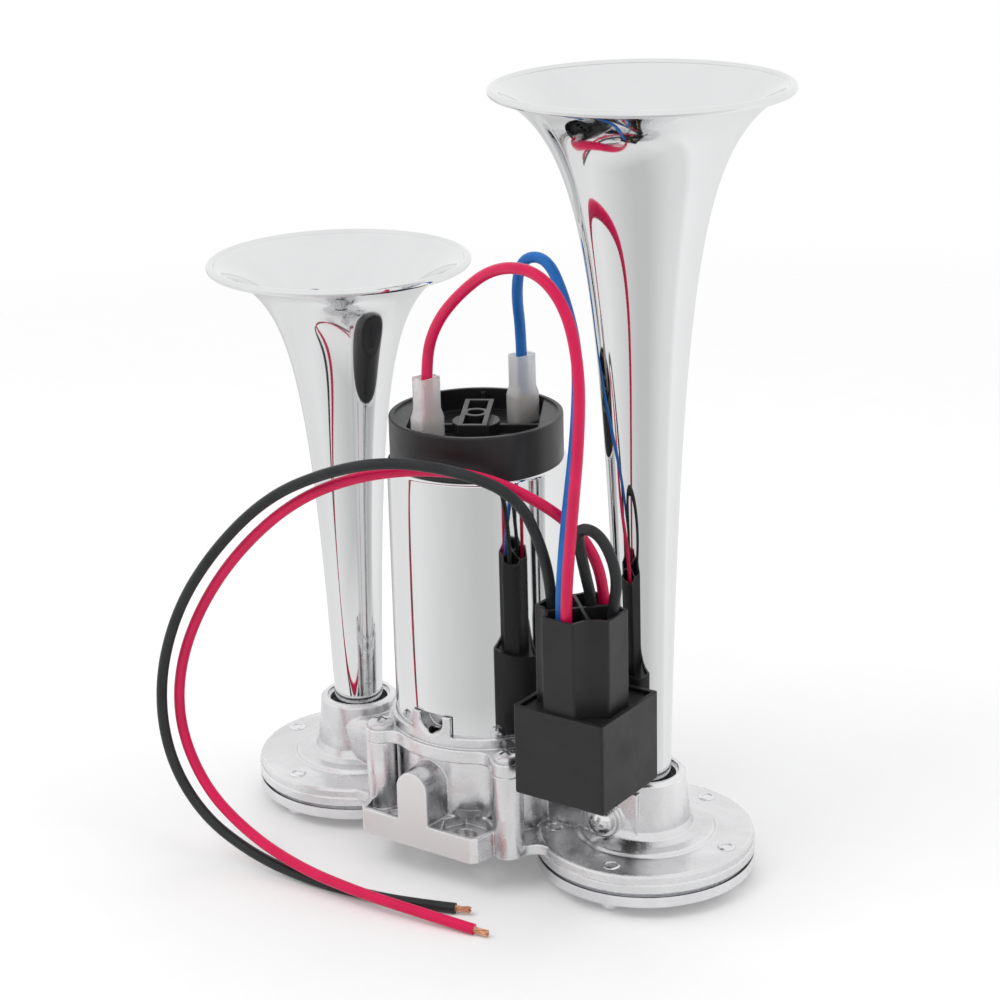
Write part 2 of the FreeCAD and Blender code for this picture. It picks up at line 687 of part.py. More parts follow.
def passage_screw():
    screw = cross_screw(SCREW_BORE_DEPTH - SLIDE_FIT + SCREW_BOSS_T + WASHER_T)
    screw.rotate(V(0, 0, 0), V(1, 0, 0), 90)
    screw.rotate(V(0, 0, 0), V(0, 1, 0), PASSAGE_SCREW_ANGLE)
    seat = screw_seat()
    return moved(screw, seat.x, seat.y - WASHER_T, seat.z)


def passage_washer():
    ring = Part.makeCylinder(WASHER_R, WASHER_T, screw_seat(), V(0, -1, 0))
    hole = Part.makeCylinder(SCREW_SHANK_R, WASHER_T, screw_seat(), V(0, -1, 0))
    return ring.cut(hole)


def inlet_channel():
    """The round-bottomed air inlet, closed behind, with its way down into the pump."""
    axis_z = FLANGE_Z + INLET_AXIS_H
    front = MOTOR_Y - RING_OUTER_R
    depth = RING_OUTER_R - INLET_BACK_R - INLET_BACK_T
    bore = Part.makeCylinder(INLET_R, depth, V(MID_X, front, axis_z), V(0, 1, 0))
    mouth_r = INLET_R + INLET_CHAMFER
    cone = Part.makeCone(mouth_r, INLET_R, INLET_CHAMFER, V(MID_X, front, axis_z), V(0, 1, 0))
    slot = block(MID_X - INLET_R, MID_X + INLET_R, front, front + depth, axis_z, FLANGE_Z + NOTCH_H)
    port_y = front + depth / 2
    port = cylinder(PORT_R, FLANGE_BOTTOM_Z, axis_z, MID_X, port_y)
    groove = block(MID_X - PORT_R, MID_X + PORT_R, port_y, MOTOR_Y - PORT_END_R,
                   FLANGE_BOTTOM_Z, FLANGE_BOTTOM_Z + PORT_DEPTH)
    return [fused([bore, cone, slot]), port, groove]


def motor_flange():
    """The plate on the posts that covers the pump, holds the can and forms the air inlet."""
    faces = [disc_face(FLANGE_R, MID_X, MOTOR_Y)]
    faces += [disc_face(POST_R, x, y) for x, y in post_places()]
    plate = raised(blended(faces, FLANGE_BLEND), FLANGE_BOTTOM_Z, FLANGE_Z)
    ring = tube(RING_OUTER_R, RING_INNER_R, FLANGE_Z, FLANGE_Z + CAN_RING_H, MID_X, MOTOR_Y)
    window = block(MID_X - INLET_LUG_HALF_W, MID_X + INLET_LUG_HALF_W, MOTOR_Y - RING_OUTER_R,
                   MOTOR_Y - INLET_BACK_R, FLANGE_Z, FLANGE_Z + NOTCH_H - NOTCH_GAP)
    lug = window.common(cylinder(RING_OUTER_R, FLANGE_Z, FLANGE_Z + NOTCH_H, MID_X, MOTOR_Y))
    cuts = inlet_channel() + [cylinder(SHAFT_R + BRIDGE, FLANGE_BOTTOM_Z, FLANGE_Z, MID_X, MOTOR_Y)]
    cuts += [cylinder(SCREW_SHANK_R, FLANGE_BOTTOM_Z, FLANGE_Z, x, y) for x, y in post_places()]
    return without(fused([plate, ring, lug]), cuts)


def motor_can():
    """The drawn steel can, closed below, with the inlet notch at its lower edge."""
    x, y = MID_X, MOTOR_Y
    shell = cylinder(CAN_R, FLANGE_Z, CAN_TOP_Z, x, y)
    rim = [e for e in shell.Edges if e.Closed and e.BoundBox.ZMin > CAN_TOP_Z - 0.01]
    shell = shell.makeFillet(CAN_SHOULDER_R, rim)
    shell = shell.cut(cylinder(CAN_INNER_R, FLANGE_Z + CAN_WALL, CAN_TOP_Z - CAN_WALL, x, y))
    hub = cylinder(CAN_HUB_R, FLANGE_Z, FLANGE_Z + CAN_HUB_H + CAN_WALL, x, y)
    half = INLET_LUG_HALF_W + NOTCH_GAP
    notch = block(x - half, x + half, y - CAN_R, y - INLET_BACK_R + NOTCH_GAP, FLANGE_Z, FLANGE_Z + NOTCH_H)
    cuts = [cylinder(CAN_LIP_R, CAN_TOP_Z - CAN_WALL, CAN_TOP_Z, x, y), notch,
            cylinder(BUSH_R + PRESS_FIT, FLANGE_Z, FLANGE_Z + CAN_HUB_H + CAN_WALL, x, y)]
    return without(fused([shell, hub]), cuts)


def bush(z0):
    return tube(BUSH_R, SHAFT_R + RUNNING_FIT, z0, z0 + BUSH_H, MID_X, MOTOR_Y)


def terminal_places():
    """Centre and turn of the two motor terminals, one each side of the axis."""
    places = []
    for angle in (TAB_ANGLE, TAB_ANGLE + 180):
        a = math.radians(angle)
        places.append((MID_X + TAB_R * math.cos(a), MOTOR_Y + TAB_R * math.sin(a), angle))
    return places


def terminal_strip(angle):
    """One brass strip: arm behind the brush, folded foot and upright tab."""
    reach = COMM_R + BRUSH_GAP + BRUSH_L
    half = TAB_W / 2
    arm = block(reach, reach + TAB_T, -half, half, BRUSH_BOTTOM_Z, ARM_Z + TAB_T)
    foot = block(reach, TAB_R + half, -half, half, ARM_Z, ARM_Z + TAB_T)
    tab = block(TAB_R - half, TAB_R + half, -TAB_T / 2, TAB_T / 2, ARM_Z, TAB_TOP_Z)
    return moved(turn(fused([arm, foot, tab]), angle, 0, 0), MID_X, MOTOR_Y)


def brush(angle):
    start = COMM_R + BRUSH_GAP
    carbon = block(COMM_R - BRIDGE, start + BRUSH_L, -BRUSH_W / 2, BRUSH_W / 2,
                   BRUSH_BOTTOM_Z, BRUSH_BOTTOM_Z + BRUSH_H)
    carbon = carbon.cut(cylinder(start, BRUSH_BOTTOM_Z, BRUSH_BOTTOM_Z + BRUSH_H))
    return moved(turn(carbon, angle, 0, 0), MID_X, MOTOR_Y)


def brush_cage(angle):
    """The moulded guide that holds a brush, with its window cut through."""
    w = BRUSH_W / 2 + CAGE_WALL
    end = COMM_R + BRUSH_GAP + BRUSH_L - SLIDE_FIT
    cage = block(CAGE_START_R, end, -w, w, BRUSH_BOTTOM_Z - CAGE_WALL, CAP_PLATE_Z + BRIDGE)
    half = BRUSH_W / 2 + SLIDE_FIT
    window = block(CAGE_START_R, end, -half, half, BRUSH_BOTTOM_Z - SLIDE_FIT,
                   BRUSH_BOTTOM_Z + BRUSH_H + SLIDE_FIT)
    return moved(turn(cage.cut(window), angle, 0, 0), MID_X, MOTOR_Y)


def cap_frame():
    """The figure-of-eight moulding in the middle of the cap, built along +Y."""
    z0, z1 = CAP_FLOOR_Z, CAP_TOP_Z
    w, l = FRAME_W / 2, FRAME_L / 2
    bars = block(-w, w, -l, l, z0, z1).cut(block(-w + FRAME_WALL, w - FRAME_WALL, -l + FRAME_WALL,
                                                 l - FRAME_WALL, z0, z1))
    ring = tube(FRAME_RING_R, FRAME_RING_R - FRAME_WALL, z0, z1)
    boss = cylinder(CAP_BOSS_R, z0, z0 + CAP_BOSS_H).cut(cylinder(FRAME_RING_R, z0, z0 + CAP_BOSS_H))
    return bars.fuse([ring, boss])


def motor_end_cap():
    """The plastic end cap: deep recess, side ledges, middle frame and brush cages."""
    x, y = MID_X, MOTOR_Y
    z0, z1 = CAP_FLOOR_Z, CAP_TOP_Z
    recess_r = CAP_R - CAP_WALL
    shell = cylinder(CAP_R, CAN_TOP_Z, CAP_TOP_Z)
    top = [e for e in shell.Edges if e.Closed and e.BoundBox.ZMin > CAP_TOP_Z - 0.01]
    shell = shell.makeFillet(CAP_EDGE_R, top)
    shell = shell.cut(cylinder(recess_r, z0, z1))
    shell = shell.cut(cylinder(CAN_LIP_R - SLIDE_FIT - CAP_WALL, CAN_TOP_Z, CAP_PLATE_Z))
    skirt_r = CAN_LIP_R - SLIDE_FIT
    skirt = tube(skirt_r, skirt_r - CAP_WALL, CAN_TOP_Z - CAP_SKIRT_DROP, CAN_TOP_Z)
    inside = cylinder(recess_r + BRIDGE / 2, z0, z1)
    ledges = [block(s0, s1, -CAP_R, CAP_R, z0, z1 - CAP_LEDGE_DROP).common(inside)
              for s0, s1 in ((CAP_LEDGE, CAP_R), (-CAP_R, -CAP_LEDGE))]
    rib = CAP_RIB_T / 2
    ribs = [block(-CAP_LEDGE, -CAP_BOSS_R + BRIDGE, -rib, rib, z0, z0 + CAP_RIB_H),
            block(CAP_BOSS_R - BRIDGE, CAP_LEDGE, -rib, rib, z0, z0 + CAP_RIB_H),
            block(-rib, rib, recess_r - BRIDGE, recess_r + BRIDGE / 2, z0, z1 - BRIDGE)]
    cap = fused([shell, skirt, cap_frame()] + ledges + ribs)
    cap = turn(cap, CAP_ANGLE, 0, 0)
    cap.translate(V(x, y, 0))
    hub = cylinder(BUSH_R + CAGE_WALL, BUSH_TOP_Z - BUSH_H, CAP_PLATE_Z + BRIDGE, x, y)
    cap = fused([cap, hub] + [brush_cage(a) for _, _, a in terminal_places()])
    cuts = [cylinder(BUSH_R + PRESS_FIT, BUSH_TOP_Z - BUSH_H, BUSH_TOP_Z, x, y)]
    half, thick = TAB_W / 2 + SLIDE_FIT, TAB_T / 2 + SLIDE_FIT
    for tx, ty, angle in terminal_places():
        slot = block(-half, half, -thick, thick, ARM_Z, z0)
        cuts.append(moved(turn(slot, angle, 0, 0), tx, ty))
    foot_half = TAB_W / 2 + SLIDE_FIT
    for angle in (TAB_ANGLE, TAB_ANGLE + 180):
        strip = block(COMM_R + BRUSH_GAP + BRUSH_L - SLIDE_FIT, TAB_R + foot_half, -foot_half, foot_half,
                      BRUSH_BOTTOM_Z - CAGE_WALL, ARM_Z + TAB_T + SLIDE_FIT)
        cuts.append(moved(turn(strip, angle, 0, 0), x, y))
    return without(cap, cuts)


def magnet(angle):
    """One curved magnet, bonded inside the can."""
    outer = CAN_INNER_R - PRESS_FIT
    shell = tube(outer, outer - MAGNET_T, MAGNET_BOTTOM_Z, MAGNET_TOP_Z)
    half = math.radians(MAGNET_SPAN / 2)
    reach = 2 * CAN_R
    wx, wy = reach * math.cos(half), reach * math.sin(half)
    wedge = raised(polygon_face([(0, 0), (wx, wy), (reach, 0), (wx, -wy)]), MAGNET_BOTTOM_Z, MAGNET_TOP_Z)
    return moved(turn(shell.common(wedge), angle, 0, 0), MID_X, MOTOR_Y)


def on_shaft(shape):
    """A piece of the rotor: bored for the shaft and moved to the motor axis."""
    bore = cylinder(SHAFT_R + PRESS_FIT, shape.BoundBox.ZMin, shape.BoundBox.ZMax)
    return moved(shape.cut(bore), MID_X, MOTOR_Y)


def slot_angles():
    return [i * 360.0 / CORE_SLOTS for i in range(CORE_SLOTS)]


def armature_core():
    z0, z1 = CORE_BOTTOM_Z, CORE_TOP_Z
    core = cylinder(CORE_R, z0, z1)
    half, mouth = SLOT_W / 2, SLOT_MOUTH_W / 2
    for angle in slot_angles():
        pocket = block(SLOT_INNER_R, CORE_R - SLOT_LIP, -half, half, z0, z1)
        opening = block(CORE_R - SLOT_LIP - BRIDGE, CORE_R + BRIDGE, -mouth, mouth, z0, z1)
        core = core.cut(turn(pocket.fuse(opening), angle, 0, 0))
    return on_shaft(core)


def armature_windings():
    """The copper in the slots, joined by the end turns above and below the core."""
    outer = CORE_R - SLOT_LIP - COIL_INSET
    inner = SLOT_INNER_R + COIL_INSET
    z0, z1 = CORE_BOTTOM_Z - COIL_END_H, CORE_TOP_Z + COIL_END_H
    ends = []
    for low, high in ((z0, CORE_BOTTOM_Z), (CORE_TOP_Z, z1)):
        slope = COIL_CHAMFER
        profile = [(inner, low), (outer - slope, low), (outer, low + slope),
                   (outer, high - slope), (outer - slope, high), (inner, high)]
        ends.append(turned(profile))
    half = SLOT_W / 2 - COIL_INSET
    bars = [turn(block(inner, outer, -half, half, CORE_BOTTOM_Z - BRIDGE, CORE_TOP_Z + BRIDGE), a, 0, 0)
            for a in slot_angles()]
    return moved(fused(ends + bars), MID_X, MOTOR_Y)


def commutator():
    drum = cylinder(COMM_R, COMM_BOTTOM_Z, COMM_TOP_Z)
    riser = cylinder(COMM_RISER_R, COMM_BOTTOM_Z, COMM_BOTTOM_Z + COMM_RISER_H)
    drum = drum.fuse(riser).removeSplitter()
    half = COMM_GROOVE / 2
    for angle in slot_angles():
        groove = block(COMM_R - COMM_GROOVE_DEPTH, COMM_RISER_R + BRIDGE, -half, half,
                       COMM_BOTTOM_Z, COMM_TOP_Z)
        drum = drum.cut(turn(groove, angle + 180.0 / CORE_SLOTS, 0, 0))
    return on_shaft(drum)


def motor_shaft():
    return cylinder(SHAFT_R, SHAFT_BOTTOM_Z, SHAFT_TOP_Z, MID_X, MOTOR_Y)


def vane_angles():
    return [FIRST_VANE_ANGLE + i * 360.0 / VANES for i in range(VANES)]


def pump_rotor():
    z0, z1 = PUMP_FLOOR_Z + ROTOR_END_GAP, FLANGE_BOTTOM_Z - ROTOR_END_GAP
    rotor = cylinder(ROTOR_R, z0, z1)
    half = VANE_T / 2 + RUNNING_FIT
    for angle in vane_angles():
        slot = block(ROTOR_R - VANE_DEPTH - RUNNING_FIT, ROTOR_R + BRIDGE, -half, half, z0, z1)
        rotor = rotor.cut(turn(slot, angle, 0, 0))
    return on_shaft(rotor)


def pump_vanes():
    """The sliding vanes, pressed home in their slots."""
    z0, z1 = PUMP_FLOOR_Z + ROTOR_END_GAP, FLANGE_BOTTOM_Z - ROTOR_END_GAP
    vane = block(ROTOR_R - VANE_DEPTH, ROTOR_R + BRIDGE, -VANE_T / 2, VANE_T / 2, z0, z1)
    vane = vane.common(cylinder(ROTOR_R, z0, z1))
    return Part.makeCompound([moved(turn(vane, a, 0, 0), MID_X, MOTOR_Y) for a in vane_angles()])


def pump_liner():
    """The fixed ring round the rotor, with its bore off centre and two outlet ports."""
    z0, z1 = PUMP_FLOOR_Z, FLANGE_BOTTOM_Z
    ring = cylinder(PUMP_CAVITY_R - PRESS_FIT, z0, z1, MID_X, MOTOR_Y)
    ring = ring.cut(cylinder(LINER_BORE_R, z0, z1, MID_X, MOTOR_Y - ECCENTRIC))
    port = Part.makeCylinder(PASSAGE_BORE_R, 2 * PUMP_CAVITY_R, V(MID_X - PUMP_CAVITY_R, 0, PASSAGE_BORE_Z),
                             V(1, 0, 0))
    return ring.cut(port)


def rounded_section(w, t, z, radius):
    """A flat wire of a rectangle with round corners, centred on the axis."""
    face = rectangle_face(-w / 2 + radius, w / 2 - radius, -t / 2 + radius, t / 2 - radius)
    wire = face.makeOffset2D(radius).OuterWire
    return moved(wire, 0, 0, z)


def terminal_sleeve(x, y, angle):
    """The soft insulating sleeve: flared foot over the terminal, narrow neck round the lead."""
    def shell(inset, z0, z1):
        sizes = ((SLEEVE_W, SLEEVE_T, z0), (SLEEVE_W, SLEEVE_T, SLEEVE_KNEE_Z),
                 (SLEEVE_NECK_W, SLEEVE_NECK_T, SLEEVE_NECK_Z), (SLEEVE_NECK_W, SLEEVE_NECK_T, z1))
        wires = [rounded_section(w - 2 * inset, t - 2 * inset, z, SLEEVE_CORNER_R - inset)
                 for w, t, z in sizes]
        return Part.makeLoft(wires, True, True)
    sleeve = shell(0.0, CAP_FLOOR_Z, SLEEVE_TOP_Z).cut(shell(SLEEVE_WALL, CAP_FLOOR_Z, SLEEVE_TOP_Z))
    return moved(turn(sleeve, angle, 0, 0), x, y)


def receptacle(x, y, angle):
    """The crimped push-on contact that grips the tab inside the sleeve."""
    w = TAB_W / 2 + SLIDE_FIT + RECEPTACLE_T
    t = TAB_T / 2 + SLIDE_FIT + RECEPTACLE_T
    z1 = TAB_TOP_Z + BRIDGE
    z0 = z1 - RECEPTACLE_H
    grip = block(-w, w, -t, t, z0, z1)
    room = block(-w + RECEPTACLE_T, w - RECEPTACLE_T, -t + RECEPTACLE_T, t - RECEPTACLE_T, z0, TAB_TOP_Z)
    slit = block(-RECEPTACLE_SLIT / 2, RECEPTACLE_SLIT / 2, 0, t, z0, TAB_TOP_Z)
    neck = cylinder(CRIMP_R, z1, RED_MOTOR_ROUTE[0][2])
    return moved(turn(fused([grip, neck]).cut(room).cut(slit), angle, 0, 0), x, y)


def relay_case():
    """The sealed relay box, with a raised rim round its terminal side."""
    h = RELAY_SIZE / 2
    case = block(RELAY_X - h, RELAY_X + h, RELAY_Y - h, RELAY_Y + h, RELAY_BOTTOM_Z, RELAY_TOP_Z)
    case = case.makeFillet(RELAY_EDGE_R, [e for e in case.Edges if e.BoundBox.ZMax < RELAY_TOP_Z - 0.01
                                          or e.BoundBox.ZLength > 1])
    i = h - RELAY_RIM
    recess = block(RELAY_X - i, RELAY_X + i, RELAY_Y - i, RELAY_Y + i,
                   RELAY_TOP_Z - RELAY_RECESS, RELAY_TOP_Z)
    return case.cut(recess)


def blade_places():
    """Blade centres and turns: one in each arm of the plug."""
    p = BLADE_PITCH
    return [(-p, 0, 90), (0, -p, 180), (p, 0, 270), (0, p, 0)]


def relay_base():
    """The moulded plate that closes the relay inside its rim."""
    i = RELAY_SIZE / 2 - RELAY_RIM - SLIDE_FIT
    z0 = RELAY_TOP_Z - RELAY_RECESS
    plate = block(RELAY_X - i, RELAY_X + i, RELAY_Y - i, RELAY_Y + i, z0, RELAY_PLUG_Z)
    w, t = BLADE_W / 2 + SLIDE_FIT, BLADE_T / 2 + SLIDE_FIT
    slots = [moved(turn(block(-w, w, -t, t, z0, RELAY_PLUG_Z), a, 0, 0), PLUG_CX + bx, PLUG_CY + by)
             for bx, by, a in blade_places()]
    notches = [block(RELAY_X + s * i - RELAY_NOTCH_W, RELAY_X + s * i + RELAY_NOTCH_W,
                     RELAY_Y - RELAY_NOTCH_L / 2, RELAY_Y + RELAY_NOTCH_L / 2,
                     RELAY_PLUG_Z - RELAY_NOTCH_DEPTH, RELAY_PLUG_Z) for s in (-1, 1)]
    return without(plate, slots + notches)


def relay_blades():
    z0 = RELAY_TOP_Z - RELAY_RECESS
    blades = []
    for bx, by, a in blade_places():
        blade = block(-BLADE_W / 2, BLADE_W / 2, -BLADE_T / 2, BLADE_T / 2, z0, RELAY_PLUG_Z + BLADE_H)
        blades.append(moved(turn(blade, a, 0, 0), PLUG_CX + bx, PLUG_CY + by))
    return Part.makeCompound(blades)


def plug_outline(inset):
    """The four-lobed plan of the relay plug, with scooped corners between the lobes."""
    h, w = PLUG_SIZE / 2, PLUG_LOBE_HALF_W
    scoop = h - w - PLUG_SCOOP_INSET
    face = rectangle_face(-h, h, -h, h)
    for sx in (-1, 1):
        for sy in (-1, 1):
            face = face.cut(disc_face(scoop, sx * h, sy * h))
    face = face.Faces[0].makeOffset2D(-PLUG_CORNER_R).makeOffset2D(PLUG_CORNER_R)
    return face.makeOffset2D(-inset) if inset else face


def contact_grip(clearance):
    """The closed box of a push-on contact round its blade, grown by a clearance."""
    w = BLADE_W / 2 + SLIDE_FIT + CONTACT_T + clearance
    t = BLADE_T / 2 + SLIDE_FIT + CONTACT_T + clearance
    top = RELAY_PLUG_Z + BLADE_H + CONTACT_RISE + CONTACT_T + clearance
    return block(-w, w, -t, t, RELAY_PLUG_Z + CONTACT_RISE - clearance, top)


def contact_foot():
    """The crimp that a contact turns up to the leads at the bottom of its cavity."""
    floor_z = PLUG_TOP_Z - PLUG_CAVITY_DEPTH
    w, l = BLADE_W / 2, CONTACT_FOOT_L / 2
    neck = block(-w / 2, w / 2, -BLADE_T / 2, BLADE_T / 2, RELAY_PLUG_Z + BLADE_H + CONTACT_RISE, floor_z)
    return neck.fuse(block(-w, w, -l - CONTACT_T, l - CONTACT_T, floor_z - CONTACT_FOOT_T, floor_z))


def plug_contacts():
    w, t = BLADE_W / 2 + SLIDE_FIT, BLADE_T / 2 + SLIDE_FIT
    room = block(-w, w, -t, t, RELAY_PLUG_Z, RELAY_PLUG_Z + BLADE_H + CONTACT_RISE)
    contact = contact_grip(0.0).fuse(contact_foot()).cut(room)
    return Part.makeCompound([moved(turn(contact, a, 0, 0), PLUG_CX + bx, PLUG_CY + by)
                              for bx, by, a in blade_places()])


def relay_plug():
    """The plug body on the leads: four wire cavities above, contact slots below."""
    body = raised(plug_outline(0), RELAY_PLUG_Z, PLUG_TOP_Z)
    cavity = raised(plug_outline(PLUG_WALL), PLUG_TOP_Z - PLUG_CAVITY_DEPTH, PLUG_TOP_Z)
    wall = PLUG_WALL / 2
    for angle in (45, 135):
        divider = block(-PLUG_SIZE, PLUG_SIZE, -wall, wall, RELAY_PLUG_Z, PLUG_TOP_Z)
        cavity = cavity.cut(turn(divider, angle, 0, 0))
    w, t = BLADE_W / 2 + SLIDE_FIT, BLADE_T / 2 + SLIDE_FIT
    mouth = block(-w, w, -t, t, RELAY_PLUG_Z, RELAY_PLUG_Z + CONTACT_RISE)
    slot = fused([contact_grip(PRESS_FIT), contact_foot(), mouth])
    slots = [moved(turn(slot, a, 0, 0), bx, by) for bx, by, a in blade_places()]
    return moved(without(body, [cavity] + slots), PLUG_CX, PLUG_CY)


def lead_wire(points):
    """A path of straight runs joined by tangent arcs, each as large as its runs allow."""
    points = [V(*p) for p in points]
    edges, here = [], points[0]
    for before, corner, after in zip(points, points[1:], points[2:]):
        run_in, run_out = corner - before, after - corner
        shorter = min(run_in.Length, run_out.Length)
        d0, d1 = V(run_in).normalize(), V(run_out).normalize()
        half_turn = d0.getAngle(d1) / 2
        cut = ARC_SHARE * shorter
        radius = cut / math.tan(half_turn)
        start, end = corner - d0 * cut, corner + d1 * cut
        inward = (d1 - d0).normalize()
        sagitta = radius * (1 / math.cos(half_turn) - 1)
        edges.append(Part.LineSegment(here, start).toShape())
        edges.append(Part.Arc(start, corner + inward * sagitta, end).toShape())
        here = end
    edges.append(Part.LineSegment(here, points[-1]).toShape())
    return Part.Wire(edges)


def lead(points):
    """One insulated lead, swept along its route."""
    wire = lead_wire(points)
    first = V(*points[1]) - V(*points[0])
    section = Part.Wire(Part.makeCircle(LEAD_R, V(*points[0]), first))
    return wire.makePipeShell([section], True, False)


def strands(points):
    """The bare copper at the stripped end of a lead."""
    end, before = V(*points[-1]), V(*points[-2])
    axis = (end - before).normalize()
    return Part.makeCylinder(STRAND_R, STRAND_L, end, axis)


(blue_x, blue_y, blue_turn), (red_x, red_y, red_turn) = terminal_places()

save("base_casting", base_casting())
save("motor_flange", motor_flange())
save("flange_screws", flange_screws())
save("passage_screw", passage_screw())
save("passage_washer", passage_washer())
save("long_trumpet", trumpet(LONG_X, LONG_RIM_R, LONG_HEIGHT, LONG_FLARE))
save("short_trumpet", trumpet(SHORT_X, SHORT_RIM_R, SHORT_HEIGHT, SHORT_FLARE))
for label, axis_x, hand in (("left", SHORT_X, -1), ("right", LONG_X, 1)):
    save(label + "_tube_seal", tube_seal(axis_x))
    save(label + "_gasket", gasket(axis_x, hand))
    save(label + "_diaphragm", diaphragm(axis_x, hand))
    save(label + "_cover_plate", cover_plate(axis_x, hand))
    save(label + "_rivets", rivets(axis_x, hand))
save("motor_can", motor_can())
save("motor_end_cap", motor_end_cap())
save("pump_bush", bush(PUMP_FLOOR_Z - BUSH_H))
save("lower_motor_bush", bush(FLANGE_Z))
save("upper_motor_bush", bush(BUSH_TOP_Z - BUSH_H))
save("left_magnet", magnet(180))
save("right_magnet", magnet(0))
save("motor_shaft", motor_shaft())
save("armature_core", armature_core())
save("armature_windings", armature_windings())
save("commutator", commutator())
save("pump_rotor", pump_rotor())
save("pump_vanes", pump_vanes())
save("pump_liner", pump_liner())
save("front_brush", brush(red_turn))
save("rear_brush", brush(blue_turn))
save("front_terminal", terminal_strip(red_turn))
save("rear_terminal", terminal_strip(blue_turn))
save("front_receptacle", receptacle(red_x, red_y, red_turn))
save("rear_receptacle", receptacle(blue_x, blue_y, blue_turn))
save("front_terminal_sleeve", terminal_sleeve(red_x, red_y, red_turn))
save("rear_terminal_sleeve", terminal_sleeve(blue_x, blue_y, blue_turn))
save("relay_case", relay_case())
save("relay_base", relay_base())
save("relay_blades", relay_blades())
save("relay_plug", relay_plug())
save("plug_contacts", plug_contacts())
save("motor_lead_red", lead(RED_MOTOR_ROUTE))
save("motor_lead_blue", lead(BLUE_MOTOR_ROUTE))
save("power_lead_black", lead(BLACK_POWER_ROUTE))
save("power_lead_red", lead(RED_POWER_ROUTE))
save("jumper_lead", lead(JUMPER_ROUTE))
save("black_lead_strands", strands(BLACK_POWER_ROUTE))
save("red_lead_strands", strands(RED_POWER_ROUTE))
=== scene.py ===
import bmesh
import bpy
import json
import math
import random
from mathutils import Matrix, Vector

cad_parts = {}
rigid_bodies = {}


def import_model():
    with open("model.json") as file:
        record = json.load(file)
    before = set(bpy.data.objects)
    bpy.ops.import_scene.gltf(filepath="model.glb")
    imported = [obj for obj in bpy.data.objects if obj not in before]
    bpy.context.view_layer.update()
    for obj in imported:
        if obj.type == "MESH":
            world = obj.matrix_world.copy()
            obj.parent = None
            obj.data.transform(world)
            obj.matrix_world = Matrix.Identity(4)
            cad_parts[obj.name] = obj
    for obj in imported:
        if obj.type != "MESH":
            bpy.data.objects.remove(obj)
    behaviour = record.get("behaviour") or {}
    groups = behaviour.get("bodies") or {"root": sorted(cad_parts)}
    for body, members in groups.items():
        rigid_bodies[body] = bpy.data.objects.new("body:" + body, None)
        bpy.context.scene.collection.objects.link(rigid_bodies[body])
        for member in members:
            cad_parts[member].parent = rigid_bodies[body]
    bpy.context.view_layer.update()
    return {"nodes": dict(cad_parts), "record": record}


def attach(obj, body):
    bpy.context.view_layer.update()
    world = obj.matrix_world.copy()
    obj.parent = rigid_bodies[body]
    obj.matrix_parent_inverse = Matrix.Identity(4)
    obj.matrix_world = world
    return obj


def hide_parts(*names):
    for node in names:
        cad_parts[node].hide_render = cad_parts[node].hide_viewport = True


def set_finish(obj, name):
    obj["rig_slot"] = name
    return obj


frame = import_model()
nodes = frame["nodes"]
scene = bpy.context.scene
scene.view_settings.view_transform = "Standard"
MM = 0.001

# Sizes repeated from the part, in millimetres
LONG_X, LONG_RIM_R, LONG_HEIGHT, LONG_FLARE = 48.35, 38.6, 217.0, 12.0
SHORT_X, SHORT_RIM_R, SHORT_HEIGHT, SHORT_FLARE = -50.25, 36.7, 161.0, 7.0
TUBE_R, WALL_T, BEAD_R = 7.0, 0.8, 1.1
FOOT_Z = 30.3
TUBE_ROWS = (16.0, 20.0, 26.0)
MOTOR_X, MOTOR_Y = -0.95, -5.7
FLANGE_R, FLANGE_LOW, FLANGE_TOP = 26.9, 34.0, 37.7
POST_X, POST_REACH, POST_DX, POST_R = 21.2, 22.8, 2.06, 4.3
EAR_BLEND, SCREW_HOLE_R = 4.0, 1.8
LEAD_R = 1.5

# Camera at the photograph's viewing angle
AZIMUTH, PITCH, ROLL = math.radians(35.1), math.radians(19.2), math.radians(1.46)
CAMERA_POS = Vector((0.3691, -0.52198, 0.32153))
FOCAL_PX, PICTURE_PX = 2470.7, 1000.0
SENSOR_MM = 36.0


def make_camera():
    """A camera that looks along the given compass angle and pitch."""
    right = Vector((math.cos(AZIMUTH), math.sin(AZIMUTH), 0))
    away = Vector((-math.sin(AZIMUTH), math.cos(AZIMUTH), 0))
    forward = away * math.cos(PITCH) - Vector((0, 0, 1)) * math.sin(PITCH)
    up = away * math.sin(PITCH) + Vector((0, 0, 1)) * math.cos(PITCH)
    x = right * math.cos(ROLL) - up * math.sin(ROLL)
    y = right * math.sin(ROLL) + up * math.cos(ROLL)
    data = bpy.data.cameras.new("camera")
    data.sensor_width = SENSOR_MM
    data.lens = FOCAL_PX * SENSOR_MM / PICTURE_PX
    camera = bpy.data.objects.new("camera", data)
    rotation = Matrix((x, y, -forward)).transposed().to_4x4()
    camera.matrix_world = Matrix.Translation(CAMERA_POS) @ rotation
    scene.collection.objects.link(camera)
    scene.camera = camera


make_camera()

